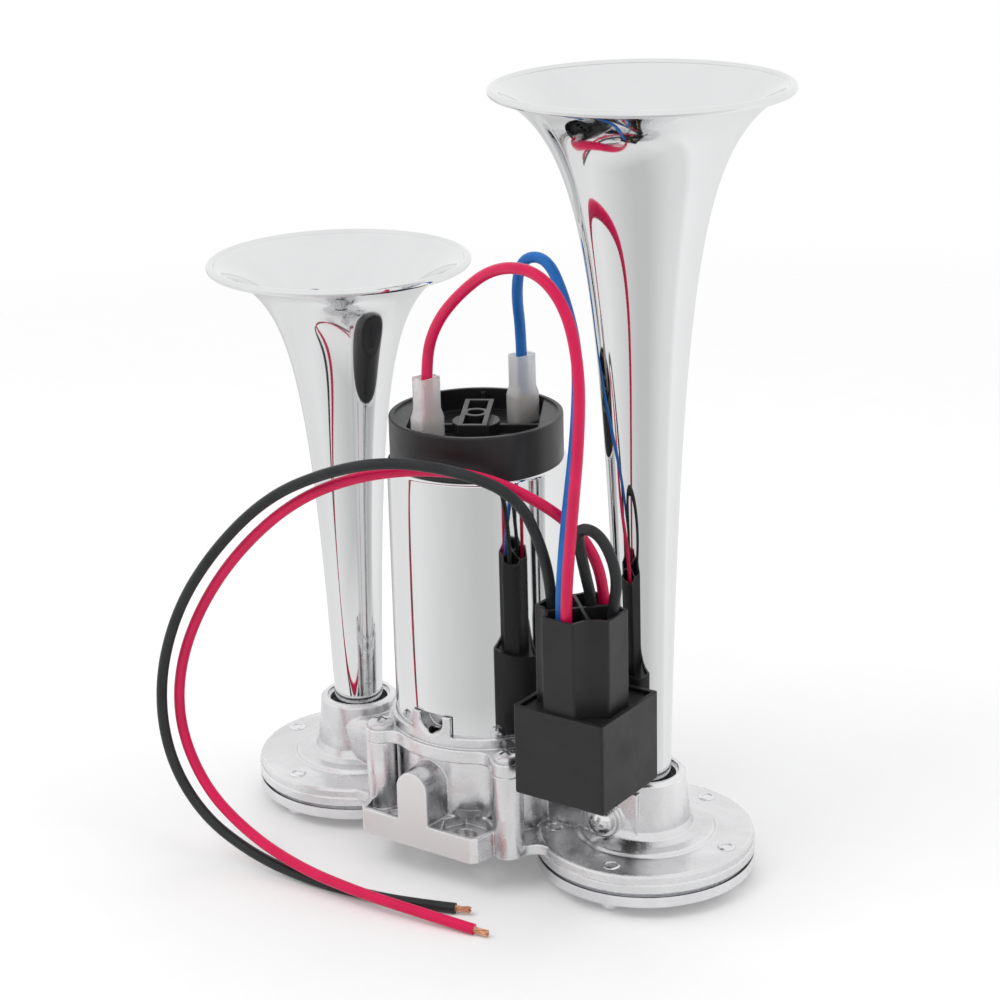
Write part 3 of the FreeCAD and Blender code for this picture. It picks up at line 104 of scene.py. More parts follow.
# Routes of the leads, the same points as in the part
RED_MOTOR_ROUTE = [(-5.7, -21.2, 127.5), (-5.7, -21.2, 142.5), (-1.5, -22.3, 153.5), (8.0, -24.5, 163.5),
                   (21.5, -27.8, 173.0), (36.5, -31.2, 175.0), (47.5, -34.2, 167.5), (51.8, -35.3, 152.5),
                   (51.2, -35.1, 134.5), (48.3, -34.2, 113.5), (45.8, -33.3, 95.0), (45.0, -32.9, 83.0),
                   (45.0, -32.9, 72.0)]
BLUE_MOTOR_ROUTE = [(3.8, 9.8, 127.5), (3.8, 9.8, 144.0), (5.6, 5.0, 158.0), (9.0, 3.4, 167.5),
                    (17.5, 2.8, 168.5), (24.5, 0.4, 158.5), (31.2, -4.2, 145.5), (35.2, -12.0, 126.5),
                    (38.4, -22.0, 107.0), (41.0, -28.8, 91.5), (41.9, -30.5, 81.5), (41.9, -30.5, 72.0)]
BLACK_POWER_ROUTE = [(35.4, -24.4, 72.0), (35.4, -24.4, 86.0), (33.6, -26.4, 100.5), (28.0, -29.2, 114.0),
                     (15.0, -36.4, 120.4), (-2.0, -43.6, 122.3), (-20.0, -47.6, 117.4),
                     (-38.0, -51.0, 108.0), (-54.5, -55.0, 91.0), (-66.5, -58.2, 72.0),
                     (-72.6, -60.4, 50.0), (-70.8, -60.8, 29.0), (-60.0, -60.2, 13.0),
                     (-43.0, -58.4, 4.2), (-24.0, -57.6, 1.55), (-8.0, -56.2, 1.5), (6.0, -53.7, 1.5),
                     (19.0, -49.3, 1.5)]
RED_POWER_ROUTE = [(46.6, -16.3, 72.0), (46.6, -16.3, 86.0), (42.6, -16.4, 98.6), (33.2, -19.6, 108.0),
                   (20.5, -28.6, 116.8), (5.0, -35.6, 119.2), (-14.0, -42.7, 115.9),
                   (-31.0, -47.8, 107.5), (-48.0, -50.8, 92.0), (-61.0, -53.4, 74.0),
                   (-68.8, -55.6, 55.0), (-70.0, -56.2, 36.5), (-61.5, -56.8, 20.0),
                   (-46.0, -57.8, 10.5), (-26.5, -59.4, 5.6), (-5.0, -60.0, 4.2), (13.5, -58.2, 2.9),
                   (29.7, -56.0, 1.5)]
JUMPER_ROUTE = [(44.9, -19.9, 72.0), (44.9, -19.9, 84.0), (43.8, -22.4, 95.0), (42.8, -24.4, 106.8),
                (50.4, -24.2, 106.2), (54.8, -22.9, 95.0), (52.3, -22.6, 83.5), (52.3, -22.6, 72.0)]

# Copper strands: rings of (radius, count), then sizes in millimetres and the twist in radians
STRAND_RINGS = ((0.0, 1), (0.42, 6), (0.78, 11))
STRAND_R = 0.17
STRAND_LENGTH, STRAND_ROOT = 4.6, 0.3
STRAND_TWIST = 2.2
STRAND_WAIST = 0.12
STRAND_STEPS = 7


def lead(node, points, slot):
    """One insulated lead on its route: a smooth spline with a round section."""
    curve = bpy.data.curves.new(node + "_wire", "CURVE")
    curve.dimensions = "3D"
    curve.resolution_u = 12
    curve.bevel_depth = 1.0
    curve.bevel_resolution = 8
    curve.use_fill_caps = True
    spline = curve.splines.new("NURBS")
    spline.points.add(len(points) - 1)
    for target, (x, y, z) in zip(spline.points, points):
        target.co = (x * MM, y * MM, z * MM, 1.0)
        target.radius = LEAD_R * MM
    spline.order_u = 3
    spline.use_endpoint_u = True
    piece = bpy.data.objects.new(node + "_wire", curve)
    scene.collection.objects.link(piece)
    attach(piece, "horn")
    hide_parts(node)
    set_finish(piece, slot)
    return piece


def strand_bundle(node, points, seed):
    """The stripped end of a lead: thin copper strands, twisted and slightly frayed."""
    rng = random.Random(seed)
    end, before = Vector(points[-1]), Vector(points[-2])
    axis = (end - before).normalized()
    side = axis.cross(Vector((0, 0, 1))).normalized()
    up = side.cross(axis)
    curve = bpy.data.curves.new(node + "_copper", "CURVE")
    curve.dimensions = "3D"
    curve.bevel_depth = 1.0
    curve.bevel_resolution = 2
    curve.resolution_u = 4
    curve.use_fill_caps = True
    for radius, count in STRAND_RINGS:
        for i in range(count):
            start = 2 * math.pi * i / count + rng.uniform(-0.1, 0.1)
            length = STRAND_LENGTH - rng.uniform(0.0, 0.7)
            spread = rng.uniform(-0.05, 0.12)
            spline = curve.splines.new("POLY")
            spline.points.add(STRAND_STEPS)
            for k, target in enumerate(spline.points):
                t = k / STRAND_STEPS
                angle = start + STRAND_TWIST * t
                r = radius * (1 - STRAND_WAIST * math.sin(math.pi * t)) + spread * t
                around = side * math.cos(angle) + up * math.sin(angle)
                place = end + axis * (length * t - STRAND_ROOT) + around * r
                target.co = (*(place * MM), 1.0)
                target.radius = STRAND_R * MM
    piece = bpy.data.objects.new(node + "_copper", curve)
    scene.collection.objects.link(piece)
    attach(piece, "horn")
    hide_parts(node)
    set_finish(piece, "bare_copper")
    return piece


leads = {
    "red_motor": lead("motor_lead_red", RED_MOTOR_ROUTE, "red_insulation"),
    "blue_motor": lead("motor_lead_blue", BLUE_MOTOR_ROUTE, "blue_insulation"),
    "black_power": lead("power_lead_black", BLACK_POWER_ROUTE, "black_insulation"),
    "red_power": lead("power_lead_red", RED_POWER_ROUTE, "red_insulation"),
    "jumper": lead("jumper_lead", JUMPER_ROUTE, "black_insulation"),
}
black_copper = strand_bundle("black_lead_strands", BLACK_POWER_ROUTE, 4)
red_copper = strand_bundle("red_lead_strands", RED_POWER_ROUTE, 9)


# Meshes
def in_metres(points):
    return [Vector(point) * MM for point in points]


def add_mesh(name, vertices, faces):
    """A new object from plain mesh data in metres."""
    mesh = bpy.data.meshes.new(name)
    mesh.from_pydata(vertices, [], faces)
    mesh.update()
    piece = bpy.data.objects.new(name, mesh)
    scene.collection.objects.link(piece)
    return piece


# Steps of a trumpet's mesh, and how near its wall comes to the bead's centre, in bead radii
TURN_STEPS, WALL_STEPS, BEAD_STEPS = 224, 90, 18
BEAD_CLEAR = 1.02


def lathe(profile, x, y, segments):
    """Vertices and faces of a closed ring profile turned about a vertical axis."""
    count = len(profile)
    vertices, faces = [], []
    for i in range(segments):
        a = 2 * math.pi * i / segments
        c, s = math.cos(a), math.sin(a)
        vertices += [(x + r * c, y + r * s, z) for r, z in profile]
    for i in range(segments):
        j = (i + 1) % segments
        for k in range(count):
            m = (k + 1) % count
            faces.append((i * count + k, j * count + k, j * count + m, i * count + m))
    return vertices, faces


def horn_profile(rim_r, height, flare):
    """The wall of a trumpet with its rolled bead, as a closed profile."""
    bead_x, bead_z = rim_r - BEAD_R, height - BEAD_R
    power = math.log(bead_x / TUBE_R) / math.log((bead_z - FOOT_Z + flare) / flare)

    def point(radius, offset):
        drop = flare * ((bead_x / radius) ** (1 / power) - 1)
        slope = power * radius / (drop + flare)
        length = math.hypot(1, slope)
        return radius - offset / length, bead_z - drop + offset * slope / length

    def curve(offset):
        line = [point(TUBE_R * (bead_x / TUBE_R) ** (i / WALL_STEPS), offset) for i in range(WALL_STEPS + 1)]
        return [p for p in line if math.hypot(p[0] - bead_x, p[1] - bead_z) > BEAD_R * BEAD_CLEAR]

    outer, inner = curve(0.0), curve(WALL_T)
    start = math.atan2(outer[-1][1] - bead_z, outer[-1][0] - bead_x)
    finish = math.atan2(inner[-1][1] - bead_z, inner[-1][0] - bead_x) + 2 * math.pi
    start = start if start < 0 else start - 2 * math.pi
    while finish - start > 2 * math.pi:
        finish -= 2 * math.pi
    turns = [start + (finish - start) * i / BEAD_STEPS for i in range(BEAD_STEPS + 1)]
    bead = [(bead_x + BEAD_R * math.cos(a), bead_z + BEAD_R * math.sin(a)) for a in turns]
    outside = [(TUBE_R, z) for z in TUBE_ROWS]
    inside = [(TUBE_R - WALL_T, z) for z in reversed(TUBE_ROWS)]
    return outside + outer + bead + inner[::-1] + inside


def make_trumpet(node, x, rim_r, height, flare):
    """A spun trumpet with a finer mesh than its node has."""
    vertices, faces = lathe(horn_profile(rim_r, height, flare), x, 0.0, TURN_STEPS)
    piece = add_mesh(node + "_horn", in_metres(vertices), faces)
    piece.data.shade_smooth()
    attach(piece, "horn")
    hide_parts(node)
    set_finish(piece, "chrome_plate")


make_trumpet("long_trumpet", LONG_X, LONG_RIM_R, LONG_HEIGHT, LONG_FLARE)
make_trumpet("short_trumpet", SHORT_X, SHORT_RIM_R, SHORT_HEIGHT, SHORT_FLARE)

# How far an ear runs into the disc and a hole tool past the faces, in millimetres
EAR_OVERLAP, TOOL_REACH = 2.4, 1
# Mesh clean-up: welding distance in metres, then the angles of flat faces and of sharp edges
WELD = 1e-6
FLAT_ANGLE, SHARP_ANGLE = math.radians(0.4), math.radians(28)


def prism(outline, low, high):
    """Vertices and faces of an upright prism over a plan outline."""
    count = len(outline)
    vertices = [(x, y, low) for x, y in outline] + [(x, y, high) for x, y in outline]
    faces = [tuple(reversed(range(count))), tuple(range(count, 2 * count))]
    faces += [(i, (i + 1) % count, count + (i + 1) % count, count + i) for i in range(count)]
    return vertices, faces


def arc(x, y, radius, start, end, steps):
    """Points of an arc between two angles in degrees."""
    turns = [math.radians(start + (end - start) * i / steps) for i in range(steps + 1)]
    return [(x + radius * math.cos(a), y + radius * math.sin(a)) for a in turns]


def ear_outline(x, y):
    """Plan of one ear: round end on its post, sides that blend into the disc of the flange."""
    reach = math.hypot(x - MOTOR_X, y - MOTOR_Y)
    side = POST_R + EAR_BLEND
    foot = math.sqrt((FLANGE_R + EAR_BLEND) ** 2 - side ** 2)
    lean = math.degrees(math.atan2(side, foot))
    half = arc(foot, side, EAR_BLEND, 180 + lean, 270, 10)
    inner = FLANGE_R - EAR_OVERLAP
    plan = [(inner * math.cos(math.radians(lean)), inner * math.sin(math.radians(lean)))] + half
    tip = arc(reach, 0, POST_R, 90, -90, 28)
    plan = plan + tip + [(u, -v) for u, v in reversed(plan)]
    turn = math.atan2(y - MOTOR_Y, x - MOTOR_X)
    c, s = math.cos(turn), math.sin(turn)
    return [(MOTOR_X + u * c - v * s, MOTOR_Y + u * s + v * c) for u, v in reversed(plan)]


def tool_piece(name, parts):
    """A plain mesh of several closed prisms, used once and then removed."""
    vertices, faces = [], []
    for points, sides in parts:
        start = len(vertices)
        vertices += points
        faces += [tuple(start + i for i in side) for side in sides]
    return add_mesh(name, in_metres(vertices), faces)


def make_flange():
    """The motor flange with its four ears, which carry the screws on the posts."""
    places = [(MOTOR_X + POST_DX + i * POST_X, MOTOR_Y + j * POST_REACH) for i in (-1, 1) for j in (-1, 1)]
    source = nodes["motor_flange"]
    solid = bmesh.new()
    solid.from_mesh(source.data)
    solid.transform(source.matrix_world)
    bmesh.ops.remove_doubles(solid, verts=solid.verts, dist=WELD)
    solid.verts.index_update()
    piece = add_mesh("flange_with_ears", [v.co[:] for v in solid.verts],
                     [[v.index for v in face.verts] for face in solid.faces])
    solid.free()
    ears = tool_piece("ears", [prism(ear_outline(x, y), FLANGE_LOW, FLANGE_TOP) for x, y in places])
    low, high = FLANGE_LOW - TOOL_REACH, FLANGE_TOP + TOOL_REACH
    holes = tool_piece("holes", [prism(arc(x, y, SCREW_HOLE_R, 0, 345, 23), low, high) for x, y in places])
    for other, operation in ((ears, "UNION"), (holes, "DIFFERENCE")):
        step = piece.modifiers.new(operation, "BOOLEAN")
        step.operation = operation
        step.solver = "EXACT"
        step.object = other
    bpy.context.view_layer.update()
    shaped = bpy.data.meshes.new_from_object(piece.evaluated_get(bpy.context.evaluated_depsgraph_get()))
    piece.modifiers.clear()
    piece.data = shaped
    for tool in (ears, holes):
        bpy.data.objects.remove(tool)
    clean = bmesh.new()
    clean.from_mesh(shaped)
    bmesh.ops.dissolve_limit(clean, angle_limit=FLAT_ANGLE, verts=clean.verts, edges=clean.edges)
    clean.to_mesh(shaped)
    clean.free()
    shaped.shade_smooth()
    shaped.set_sharp_from_angle(angle=SHARP_ANGLE)
    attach(piece, "horn")
    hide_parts("motor_flange")
    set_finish(piece, "die_casting")


make_flange()


# Node helpers for the materials
class Paint:
    """A material with short calls for the nodes that its surfaces are made of."""

    def __init__(self, name):
        self.mat = bpy.data.materials.new(name)
        self.mat.use_nodes = True
        self.tree = self.mat.node_tree
        self.shader = self.tree.nodes["Principled BSDF"]
        self.coords = self.tree.nodes.new("ShaderNodeTexCoord").outputs["Object"]

    def new(self, kind, **settings):
        node = self.tree.nodes.new(kind)
        for key, value in settings.items():
            setattr(node, key, value)
        return node

    def link(self, a, b):
        self.tree.links.new(a, b)

    def noise(self, scale, detail=3.0, rough=0.5, distort=0.0, stretch=None):
        node = self.new("ShaderNodeTexNoise")
        node.inputs["Scale"].default_value = scale
        node.inputs["Detail"].default_value = detail
        node.inputs["Roughness"].default_value = rough
        node.inputs["Distortion"].default_value = distort
        source = self.coords
        if stretch:
            mapping = self.new("ShaderNodeMapping")
            mapping.inputs["Scale"].default_value = stretch
            self.link(self.coords, mapping.inputs["Vector"])
            source = mapping.outputs["Vector"]
        self.link(source, node.inputs["Vector"])
        return node.outputs["Fac"]

    def cells(self, scale):
        """Distance to the nearest of many scattered points."""
        node = self.new("ShaderNodeTexVoronoi", feature="F1")
        node.inputs["Scale"].default_value = scale
        self.link(self.coords, node.inputs["Vector"])
        return node.outputs["Distance"]

    def split(self):
        """The three parts of the object's own coordinates."""
        node = self.new("ShaderNodeSeparateXYZ")
        self.link(self.coords, node.inputs[0])
        return node.outputs

    def remap(self, value, low, high, to_low, to_high):
        node = self.new("ShaderNodeMapRange")
        for key, number in (("From Min", low), ("From Max", high), ("To Min", to_low), ("To Max", to_high)):
            node.inputs[key].default_value = number
        self.link(value, node.inputs["Value"])
        return node.outputs["Result"]

    def maths(self, operation, a, b):
        node = self.new("ShaderNodeMath", operation=operation)
        for socket, value in zip(node.inputs, (a, b)):
            if isinstance(value, (int, float)):
                socket.default_value = value
            else:
                self.link(value, socket)
        return node.outputs["Value"]

    def mix(self, factor, a, b):
        node = self.new("ShaderNodeMix", data_type="RGBA")
        self.link(factor, node.inputs["Factor"])
        for name, value in (("A", a), ("B", b)):
            socket = [s for s in node.inputs if s.name == name and s.type == "RGBA"][0]
            if isinstance(value, tuple):
                socket.default_value = (*value, 1.0)
            else:
                self.link(value, socket)
        return [s for s in node.outputs if s.type == "RGBA"][0]

    def bump(self, height, distance, strength, normal=None):
        node = self.new("ShaderNodeBump")
        node.inputs["Strength"].default_value = strength
        node.inputs["Distance"].default_value = distance
        self.link(height, node.inputs["Height"])
        if normal is not None:
            self.link(normal, node.inputs["Normal"])
        return node.outputs["Normal"]

    def bevel(self, radius):
        node = self.new("ShaderNodeBevel", samples=6)
        node.inputs["Radius"].default_value = radius
        return node.outputs["Normal"]

    def edges(self, radius):
        """One on convex and concave edges, zero on open faces."""
        rounded = self.bevel(radius)
        flat = self.new("ShaderNodeNewGeometry").outputs["Normal"]
        node = self.new("ShaderNodeVectorMath", operation="DOT_PRODUCT")
        self.link(rounded, node.inputs[0])
        self.link(flat, node.inputs[1])
        return self.remap(node.outputs["Value"], 0.995, 0.80, 0.0, 1.0)

    def set(self, **values):
        names = {"color": "Base Color", "metal": "Metallic", "rough": "Roughness", "normal": "Normal",
                 "transmission": "Transmission Weight", "ior": "IOR", "specular": "Specular IOR Level"}
        for key, value in values.items():
            socket = self.shader.inputs[names[key]]
            if isinstance(value, (int, float)):
                socket.default_value = value
            else:
                self.link(value, socket)
        return self.mat

    def fade(self, near, far, start, end):
        """The surface goes from one shader to the other with the distance from the origin."""
        distance = self.new("ShaderNodeVectorMath", operation="LENGTH")
        self.link(self.coords, distance.inputs[0])
        surface = self.new("ShaderNodeMixShader")
        self.link(self.remap(distance.outputs["Value"], start, end, 0.0, 1.0), surface.inputs["Fac"])
        self.link(near, surface.inputs[1])
        self.link(far, surface.inputs[2])
        self.link(surface.outputs["Shader"], self.tree.nodes["Material Output"].inputs["Surface"])


def chrome():
    """Polished plating: slow waves from spinning, faint smears and a few fine pits."""
    p = Paint("chrome_plate")
    smears = p.noise(28.0, 5.0, 0.6, 0.6, (1.0, 1.0, 0.35))
    rough = p.remap(smears, 0.40, 0.75, 0.035, 0.085)
    color = p.mix(p.remap(smears, 0.45, 0.8, 0.0, 1.0), (0.77, 0.775, 0.78), (0.72, 0.725, 0.73))
    waves = p.noise(22.0, 2.0, 0.4, 0.0, (1.0, 1.0, 0.25))
    normal = p.bump(waves, 0.00035, 0.25)
    pits = p.remap(p.cells(240.0), 0.0, 0.035, 0.0, 1.0)
    normal = p.bump(pits, 0.00005, 0.25, normal)
    return p.set(color=color, metal=1.0, rough=rough, normal=normal)


# The casting's matte front faces begin and are full at these places, in metres from the origin
MATTE_FROM_Y, MATTE_FULL_Y = -0.0378, -0.0390


def die_casting():
    """Bright pressure casting: flow ripples, small pits, smoother high edges with painted highlights, and
    painted grey shade in the hollows.
    """
    p = Paint("die_casting")
    flow = p.noise(75.0, 4.0, 0.55, 1.2)
    grain = p.noise(900.0, 3.0, 0.6)
    patches = p.noise(38.0, 4.0, 0.6, 0.8)
    edge = p.edges(0.0009)
    # Painted shade: the colour goes towards dark grey in hollows and corners, where ambient occlusion finds
    # them
    shade = p.new("ShaderNodeAmbientOcclusion", samples=6, only_local=True)
    shade.inputs["Distance"].default_value = 0.007
    painted_hollow_shade = p.remap(shade.outputs["AO"], 0.80, 0.30, 0.0, 0.75)
    matte = p.remap(p.split()["Y"], MATTE_FROM_Y, MATTE_FULL_Y, 0.0, 1.0)
    color = p.mix(p.remap(patches, 0.35, 0.72, 0.0, 1.0), (0.80, 0.80, 0.81), (0.66, 0.66, 0.67))
    color = p.mix(painted_hollow_shade, color, (0.36, 0.36, 0.37))
    color = p.mix(matte, color, p.mix(patches, (0.86, 0.86, 0.86), (0.80, 0.80, 0.80)))
    # Painted highlight: the colour is lighter along the convex and concave edges
    color = p.mix(p.maths("MULTIPLY", edge, 0.75), color, (0.95, 0.95, 0.96))
    rough = p.remap(p.noise(130.0, 4.0, 0.6), 0.35, 0.7, 0.17, 0.38)
    rough = p.maths("MAXIMUM", rough, p.maths("MULTIPLY", matte, 0.62))
    rough = p.maths("SUBTRACT", rough, p.maths("MULTIPLY", edge, 0.08))
    normal = p.bevel(0.0007)
    normal = p.bump(flow, 0.0005, 0.26, normal)
    normal = p.bump(grain, 0.00006, 0.35, normal)
    pits = p.remap(p.cells(330.0), 0.0, 0.12, 0.0, 1.0)
    normal = p.bump(pits, 0.00008, 0.35, normal)
    return p.set(color=color, metal=1.0, rough=rough, normal=normal)


def steel(name, color, dark, rough_low, rough_high, lines=(1.0, 1.0, 14.0)):
    """Plated, ground or rolled metal with fine directional lines."""
    p = Paint(name)
    bevel = 0.0003
    brushed = p.noise(420.0, 3.0, 0.6, 0.0, lines)
    stains = p.noise(60.0, 4.0, 0.6, 0.5)
    edge = p.edges(bevel * 1.4)
    tone = p.mix(p.remap(stains, 0.38, 0.72, 0.0, 1.0), color, dark)
    tone = p.mix(p.maths("MULTIPLY", edge, 0.5), tone, tuple(min(1.0, c * 1.12) for c in color))
    rough = p.remap(p.maths("ADD", brushed, stains), 0.7, 1.3, rough_low, rough_high)
    normal = p.bump(brushed, 0.00004, 0.4, p.bevel(bevel))
    return p.set(color=tone, metal=1.0, rough=rough, normal=normal)


def moulded(name, color, pale, rough_low, rough_high, grain=1400.0):
    """Moulded plastic: fine spark-eroded grain, faint flow marks and paler rubbed edges."""
    p = Paint(name)
    bevel = 0.0004
    clouds = p.noise(45.0, 4.0, 0.6, 0.4)
    edge = p.edges(bevel * 1.2)
    tone = p.mix(p.remap(clouds, 0.35, 0.75, 0.0, 0.6), color, pale)
    tone = p.mix(p.maths("MULTIPLY", edge, 0.35), tone, tuple(min(1.0, c * 1.8 + 0.01) for c in pale))
    rough = p.remap(p.noise(90.0, 4.0, 0.6), 0.35, 0.7, rough_low, rough_high)
    normal = p.bump(p.noise(grain, 2.0, 0.5), 0.00004, 0.5, p.bevel(bevel))
    normal = p.bump(clouds, 0.0002, 0.12, normal)
    return p.set(color=tone, rough=rough, normal=normal, specular=0.42)


def insulation(name, color, dark):
    """Extruded lead insulation: soft sheen, slight waviness and scuffs."""
    p = Paint(name)
    waves = p.noise(120.0, 3.0, 0.5)
    scuffs = p.noise(520.0, 3.0, 0.7, 1.5)
    tone = p.mix(p.remap(waves, 0.35, 0.7, 0.0, 1.0), color, dark)
    rough = p.remap(scuffs, 0.35, 0.7, 0.28, 0.42)
    normal = p.bump(waves, 0.0002, 0.25)
    normal = p.bump(scuffs, 0.00003, 0.3, normal)
    return p.set(color=tone, rough=rough, normal=normal, specular=0.3)


def copper_wire(name, color, dark, bands):
    """Metal wire or turned copper, with fine bands and tarnish."""
    p = Paint(name)
    tarnish = p.noise(260.0, 4.0, 0.6, 0.8)
    tone = p.mix(p.remap(tarnish, 0.4, 0.7, 0.0, 1.0), color, dark)
    rough = p.remap(tarnish, 0.35, 0.7, 0.22, 0.42)
    normal = p.bump(p.noise(bands, 2.0, 0.5, 0.0, (1.0, 1.0, 6.0)), 0.0001, 0.5)
    return p.set(color=tone, metal=1.0, rough=rough, normal=normal)


def milky_sleeve():
    """Soft half-clear sleeve plastic with faint streaks."""
    p = Paint("sleeve_plastic")
    streaks = p.noise(70.0, 2.0, 0.5, 0.0, (1.0, 1.0, 0.4))
    tone = p.mix(p.remap(streaks, 0.3, 0.7, 0.0, 1.0), (0.97, 0.97, 0.965), (0.93, 0.935, 0.935))
    rough = p.remap(streaks, 0.3, 0.7, 0.24, 0.34)
    normal = p.bump(streaks, 0.0001, 0.06, p.bevel(0.0004))
    return p.set(color=tone, rough=rough, normal=normal, transmission=0.6, ior=1.25)


# Surfaces by family, each with its two colours and what its family asks for
EVEN, FINE = (1.0, 1.0, 1.0), (1.0, 1.0, 40.0)
STEELS = {
    "plated_cover": ((0.80, 0.80, 0.81), (0.68, 0.68, 0.70), 0.12, 0.26, EVEN),
    "rivet_metal": ((0.84, 0.84, 0.85), (0.72, 0.72, 0.74), 0.14, 0.30, EVEN),
    "screw_steel": ((0.80, 0.80, 0.80), (0.62, 0.62, 0.64), 0.12, 0.28, EVEN),
    "spring_steel": ((0.52, 0.53, 0.55), (0.40, 0.41, 0.43), 0.2, 0.35),
    "shaft_steel": ((0.62, 0.63, 0.65), (0.50, 0.51, 0.53), 0.12, 0.25),
    "lamination_steel": ((0.36, 0.36, 0.38), (0.24, 0.24, 0.26), 0.3, 0.5, FINE),
    "pump_alloy": ((0.68, 0.68, 0.70), (0.55, 0.55, 0.57), 0.2, 0.38),
    "liner_iron": ((0.28, 0.28, 0.29), (0.18, 0.18, 0.19), 0.3, 0.5),
}
PLASTICS = {
    "gasket_black": ((0.030, 0.030, 0.030), (0.050, 0.050, 0.050), 0.6, 0.8),
    "seal_rubber": ((0.022, 0.022, 0.022), (0.040, 0.040, 0.040), 0.5, 0.7),
    "black_plastic": ((0.012, 0.012, 0.013), (0.020, 0.020, 0.022), 0.30, 0.44),
    "relay_plastic": ((0.010, 0.010, 0.011), (0.018, 0.018, 0.019), 0.42, 0.56),
    "ferrite": ((0.060, 0.060, 0.065), (0.090, 0.090, 0.095), 0.5, 0.7, 800.0),
    "carbon": ((0.030, 0.030, 0.032), (0.060, 0.060, 0.062), 0.4, 0.6, 900.0),
    "vane_resin": ((0.120, 0.060, 0.035), (0.160, 0.090, 0.055), 0.4, 0.55, 900.0),
}
INSULATIONS = {
    "red_insulation": ((0.76, 0.006, 0.095), (0.66, 0.004, 0.075)),
    "blue_insulation": ((0.012, 0.170, 0.56), (0.010, 0.120, 0.43)),
    "black_insulation": ((0.017, 0.019, 0.020), (0.026, 0.029, 0.030)),
}
COPPERS = {
    "enamelled_copper": ((0.62, 0.26, 0.10), (0.45, 0.16, 0.06), 900.0),
    "commutator_copper": ((0.75, 0.43, 0.28), (0.55, 0.30, 0.19), 600.0),
    "bare_copper": ((0.88, 0.50, 0.33), (0.66, 0.33, 0.20), 1500.0),
    "bronze": ((0.60, 0.44, 0.26), (0.42, 0.30, 0.17), 900.0),
    "brass": ((0.82, 0.64, 0.32), (0.64, 0.48, 0.22), 700.0),
}
FAMILIES = ((steel, STEELS), (moulded, PLASTICS), (insulation, INSULATIONS), (copper_wire, COPPERS))
PAINTS = {"chrome_plate": chrome(), "die_casting": die_casting(), "sleeve_plastic": milky_sleeve()}
for family, table in FAMILIES:
    PAINTS.update({name: family(name, *values) for name, values in table.items()})


def paint_all():
    """Every piece takes the material of its slot in the record."""
    slots = {row["node"]: row["material_slot"] for row in frame["record"]["subparts"]}
    for name, piece in nodes.items():
        piece.data.materials.clear()
        piece.data.materials.append(PAINTS[slots[name]])
    for piece in bpy.data.objects:
        if "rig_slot" in piece:
            piece.data.materials.clear()
            piece.data.materials.append(PAINTS[piece["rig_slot"]])


paint_all()

# Floor, background and studio light, in metres
FLOOR_HALF = 2.0
FLOOR_FADE = (0.35, 0.75)
FLOOR_GLOW = 0.10
WORLD_LIGHT = 0.56
RING_INNER, RING_OUTER, RING_Z, RING_SIDES = 0.06, 1.4, 0.0005, 72
RING_FADE = (0.07, 0.14)
# Mirrored brightness of the floor by compass angle in degrees: two bright sides and two grey ones
RING_TONES = ((-180, 0.90), (-135, 0.95), (-60, 0.65), (-40, 0.65), (-10, 0.85), (10, 0.90),
              (20, 1.05), (80, 0.95), (145, 0.65), (170, 0.90), (180, 0.90))
RING_PEAK = 1.2
# Lights: place, target, size and power in watts
LIGHTS = {
    "key": ((-0.5, -0.7, 1.2), (0, 0, 0.08), (1.0, 0.8), 7.5),
    "fill": ((0.9, 0.1, 0.7), (0, 0, 0.08), (0.8, 0.8), 2.0),
    "top": ((0.0, 0.4, 1.3), (0, 0, 0.05), (1.2, 0.8), 4.5),
}


def seen_rays(tree):
    """One for rays that show the background: from the camera, off gloss and through clear matter."""
    path = tree.nodes.new("ShaderNodeLightPath")
    total = path.outputs["Is Camera Ray"]
    for name in ("Is Glossy Ray", "Is Transmission Ray"):
        node = tree.nodes.new("ShaderNodeMath")
        node.operation = "MAXIMUM"
        tree.links.new(total, node.inputs[0])
        tree.links.new(path.outputs[name], node.inputs[1])
        total = node.outputs["Value"]
    return total


def make_floor():
    """A pale floor that keeps the shadow and fades into the white background."""
    half = FLOOR_HALF
    floor = add_mesh("floor", [(-half, -half, 0), (half, -half, 0), (half, half, 0), (-half, half, 0)],
                     [(0, 1, 2, 3)])
    p = Paint("floor")
    grain = p.noise(60.0, 3.0)
    color = p.mix(p.remap(grain, 0.3, 0.7, 0.0, 1.0), (0.88, 0.88, 0.88), (0.89, 0.89, 0.89))
    p.set(color=color, rough=0.8, specular=0.0)
    glow = p.new("ShaderNodeEmission")
    glow.inputs["Color"].default_value = (1.0, 1.0, 1.0, 1.0)
    p.link(p.maths("MULTIPLY", seen_rays(p.tree), FLOOR_GLOW), glow.inputs["Strength"])
    lit = p.new("ShaderNodeAddShader")
    p.link(p.shader.outputs["BSDF"], lit.inputs[0])
    p.link(glow.outputs["Emission"], lit.inputs[1])
    clear = p.new("ShaderNodeBsdfTransparent")
    p.fade(lit.outputs["Shader"], clear.outputs["BSDF"], *FLOOR_FADE)
    floor.data.materials.append(p.mat)


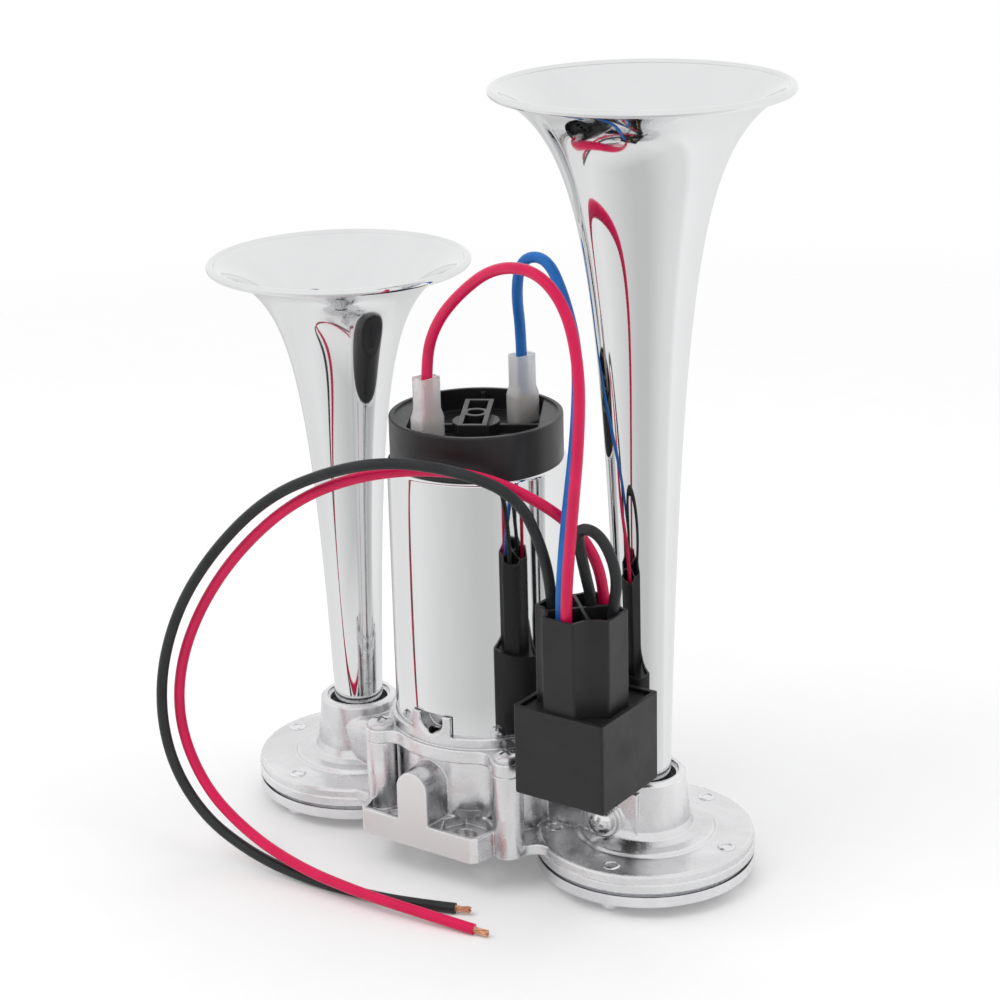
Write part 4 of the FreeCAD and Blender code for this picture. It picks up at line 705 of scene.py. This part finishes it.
def make_world():
    """White where it is seen or mirrored; a softer level for the light that it gives."""
    world = bpy.data.worlds.new("studio")
    scene.world = world
    world.use_nodes = True
    tree = world.node_tree
    tree.nodes.clear()
    out = tree.nodes.new("ShaderNodeOutputWorld")
    mix = tree.nodes.new("ShaderNodeMixShader")
    tree.links.new(seen_rays(tree), mix.inputs["Fac"])
    for socket, level in ((1, WORLD_LIGHT), (2, 1.0)):
        node = tree.nodes.new("ShaderNodeBackground")
        node.inputs["Color"].default_value = (1.0, 1.0, 1.0, 1.0)
        node.inputs["Strength"].default_value = level
        tree.links.new(node.outputs["Background"], mix.inputs[socket])
    tree.links.new(mix.outputs["Shader"], out.inputs["Surface"])


def make_ring():
    """A softly graded ring on the floor that only mirrored rays meet."""
    vertices, faces = [], []
    for i in range(RING_SIDES):
        a = 2 * math.pi * i / RING_SIDES
        vertices += [(r * math.cos(a), r * math.sin(a), RING_Z) for r in (RING_INNER, RING_OUTER)]
        j = (i + 1) % RING_SIDES
        faces.append((2 * i, 2 * i + 1, 2 * j + 1, 2 * j))
    ring = add_mesh("ring", vertices, faces)
    ring.visible_camera = False
    ring.visible_diffuse = False
    ring.visible_transmission = False
    ring.visible_shadow = False
    p = Paint("ring")
    place = p.split()
    angle = p.maths("ARCTAN2", place["Y"], place["X"])
    ramp = p.new("ShaderNodeValToRGB")
    stops = ramp.color_ramp.elements
    for k, (degrees, tone) in enumerate(RING_TONES):
        position = (degrees + 180) / 360
        if k in (0, len(RING_TONES) - 1):
            stop = stops[-1] if k else stops[0]
            stop.position = position
        else:
            stop = stops.new(position)
        value = tone / RING_PEAK
        stop.color = (value, value, value, 1.0)
    p.link(p.remap(angle, -math.pi, math.pi, 0.0, 1.0), ramp.inputs["Fac"])
    glow = p.new("ShaderNodeEmission")
    glow.inputs["Strength"].default_value = RING_PEAK
    p.link(ramp.outputs["Color"], glow.inputs["Color"])
    clear = p.new("ShaderNodeBsdfTransparent")
    p.fade(clear.outputs["BSDF"], glow.outputs["Emission"], *RING_FADE)
    ring.data.materials.append(p.mat)


def area_light(name, place, target, size, power):
    """A rectangular light that faces its target and isn't mirrored."""
    data = bpy.data.lights.new(name, "AREA")
    data.shape = "RECTANGLE"
    data.size, data.size_y = size
    data.energy = power
    lamp = bpy.data.objects.new(name, data)
    lamp.location = place
    lamp.rotation_euler = (Vector(target) - Vector(place)).to_track_quat("-Z", "Y").to_euler()
    lamp.visible_glossy = False
    scene.collection.objects.link(lamp)


make_floor()
make_world()
make_ring()
for name, values in LIGHTS.items():
    area_light(name, *values)
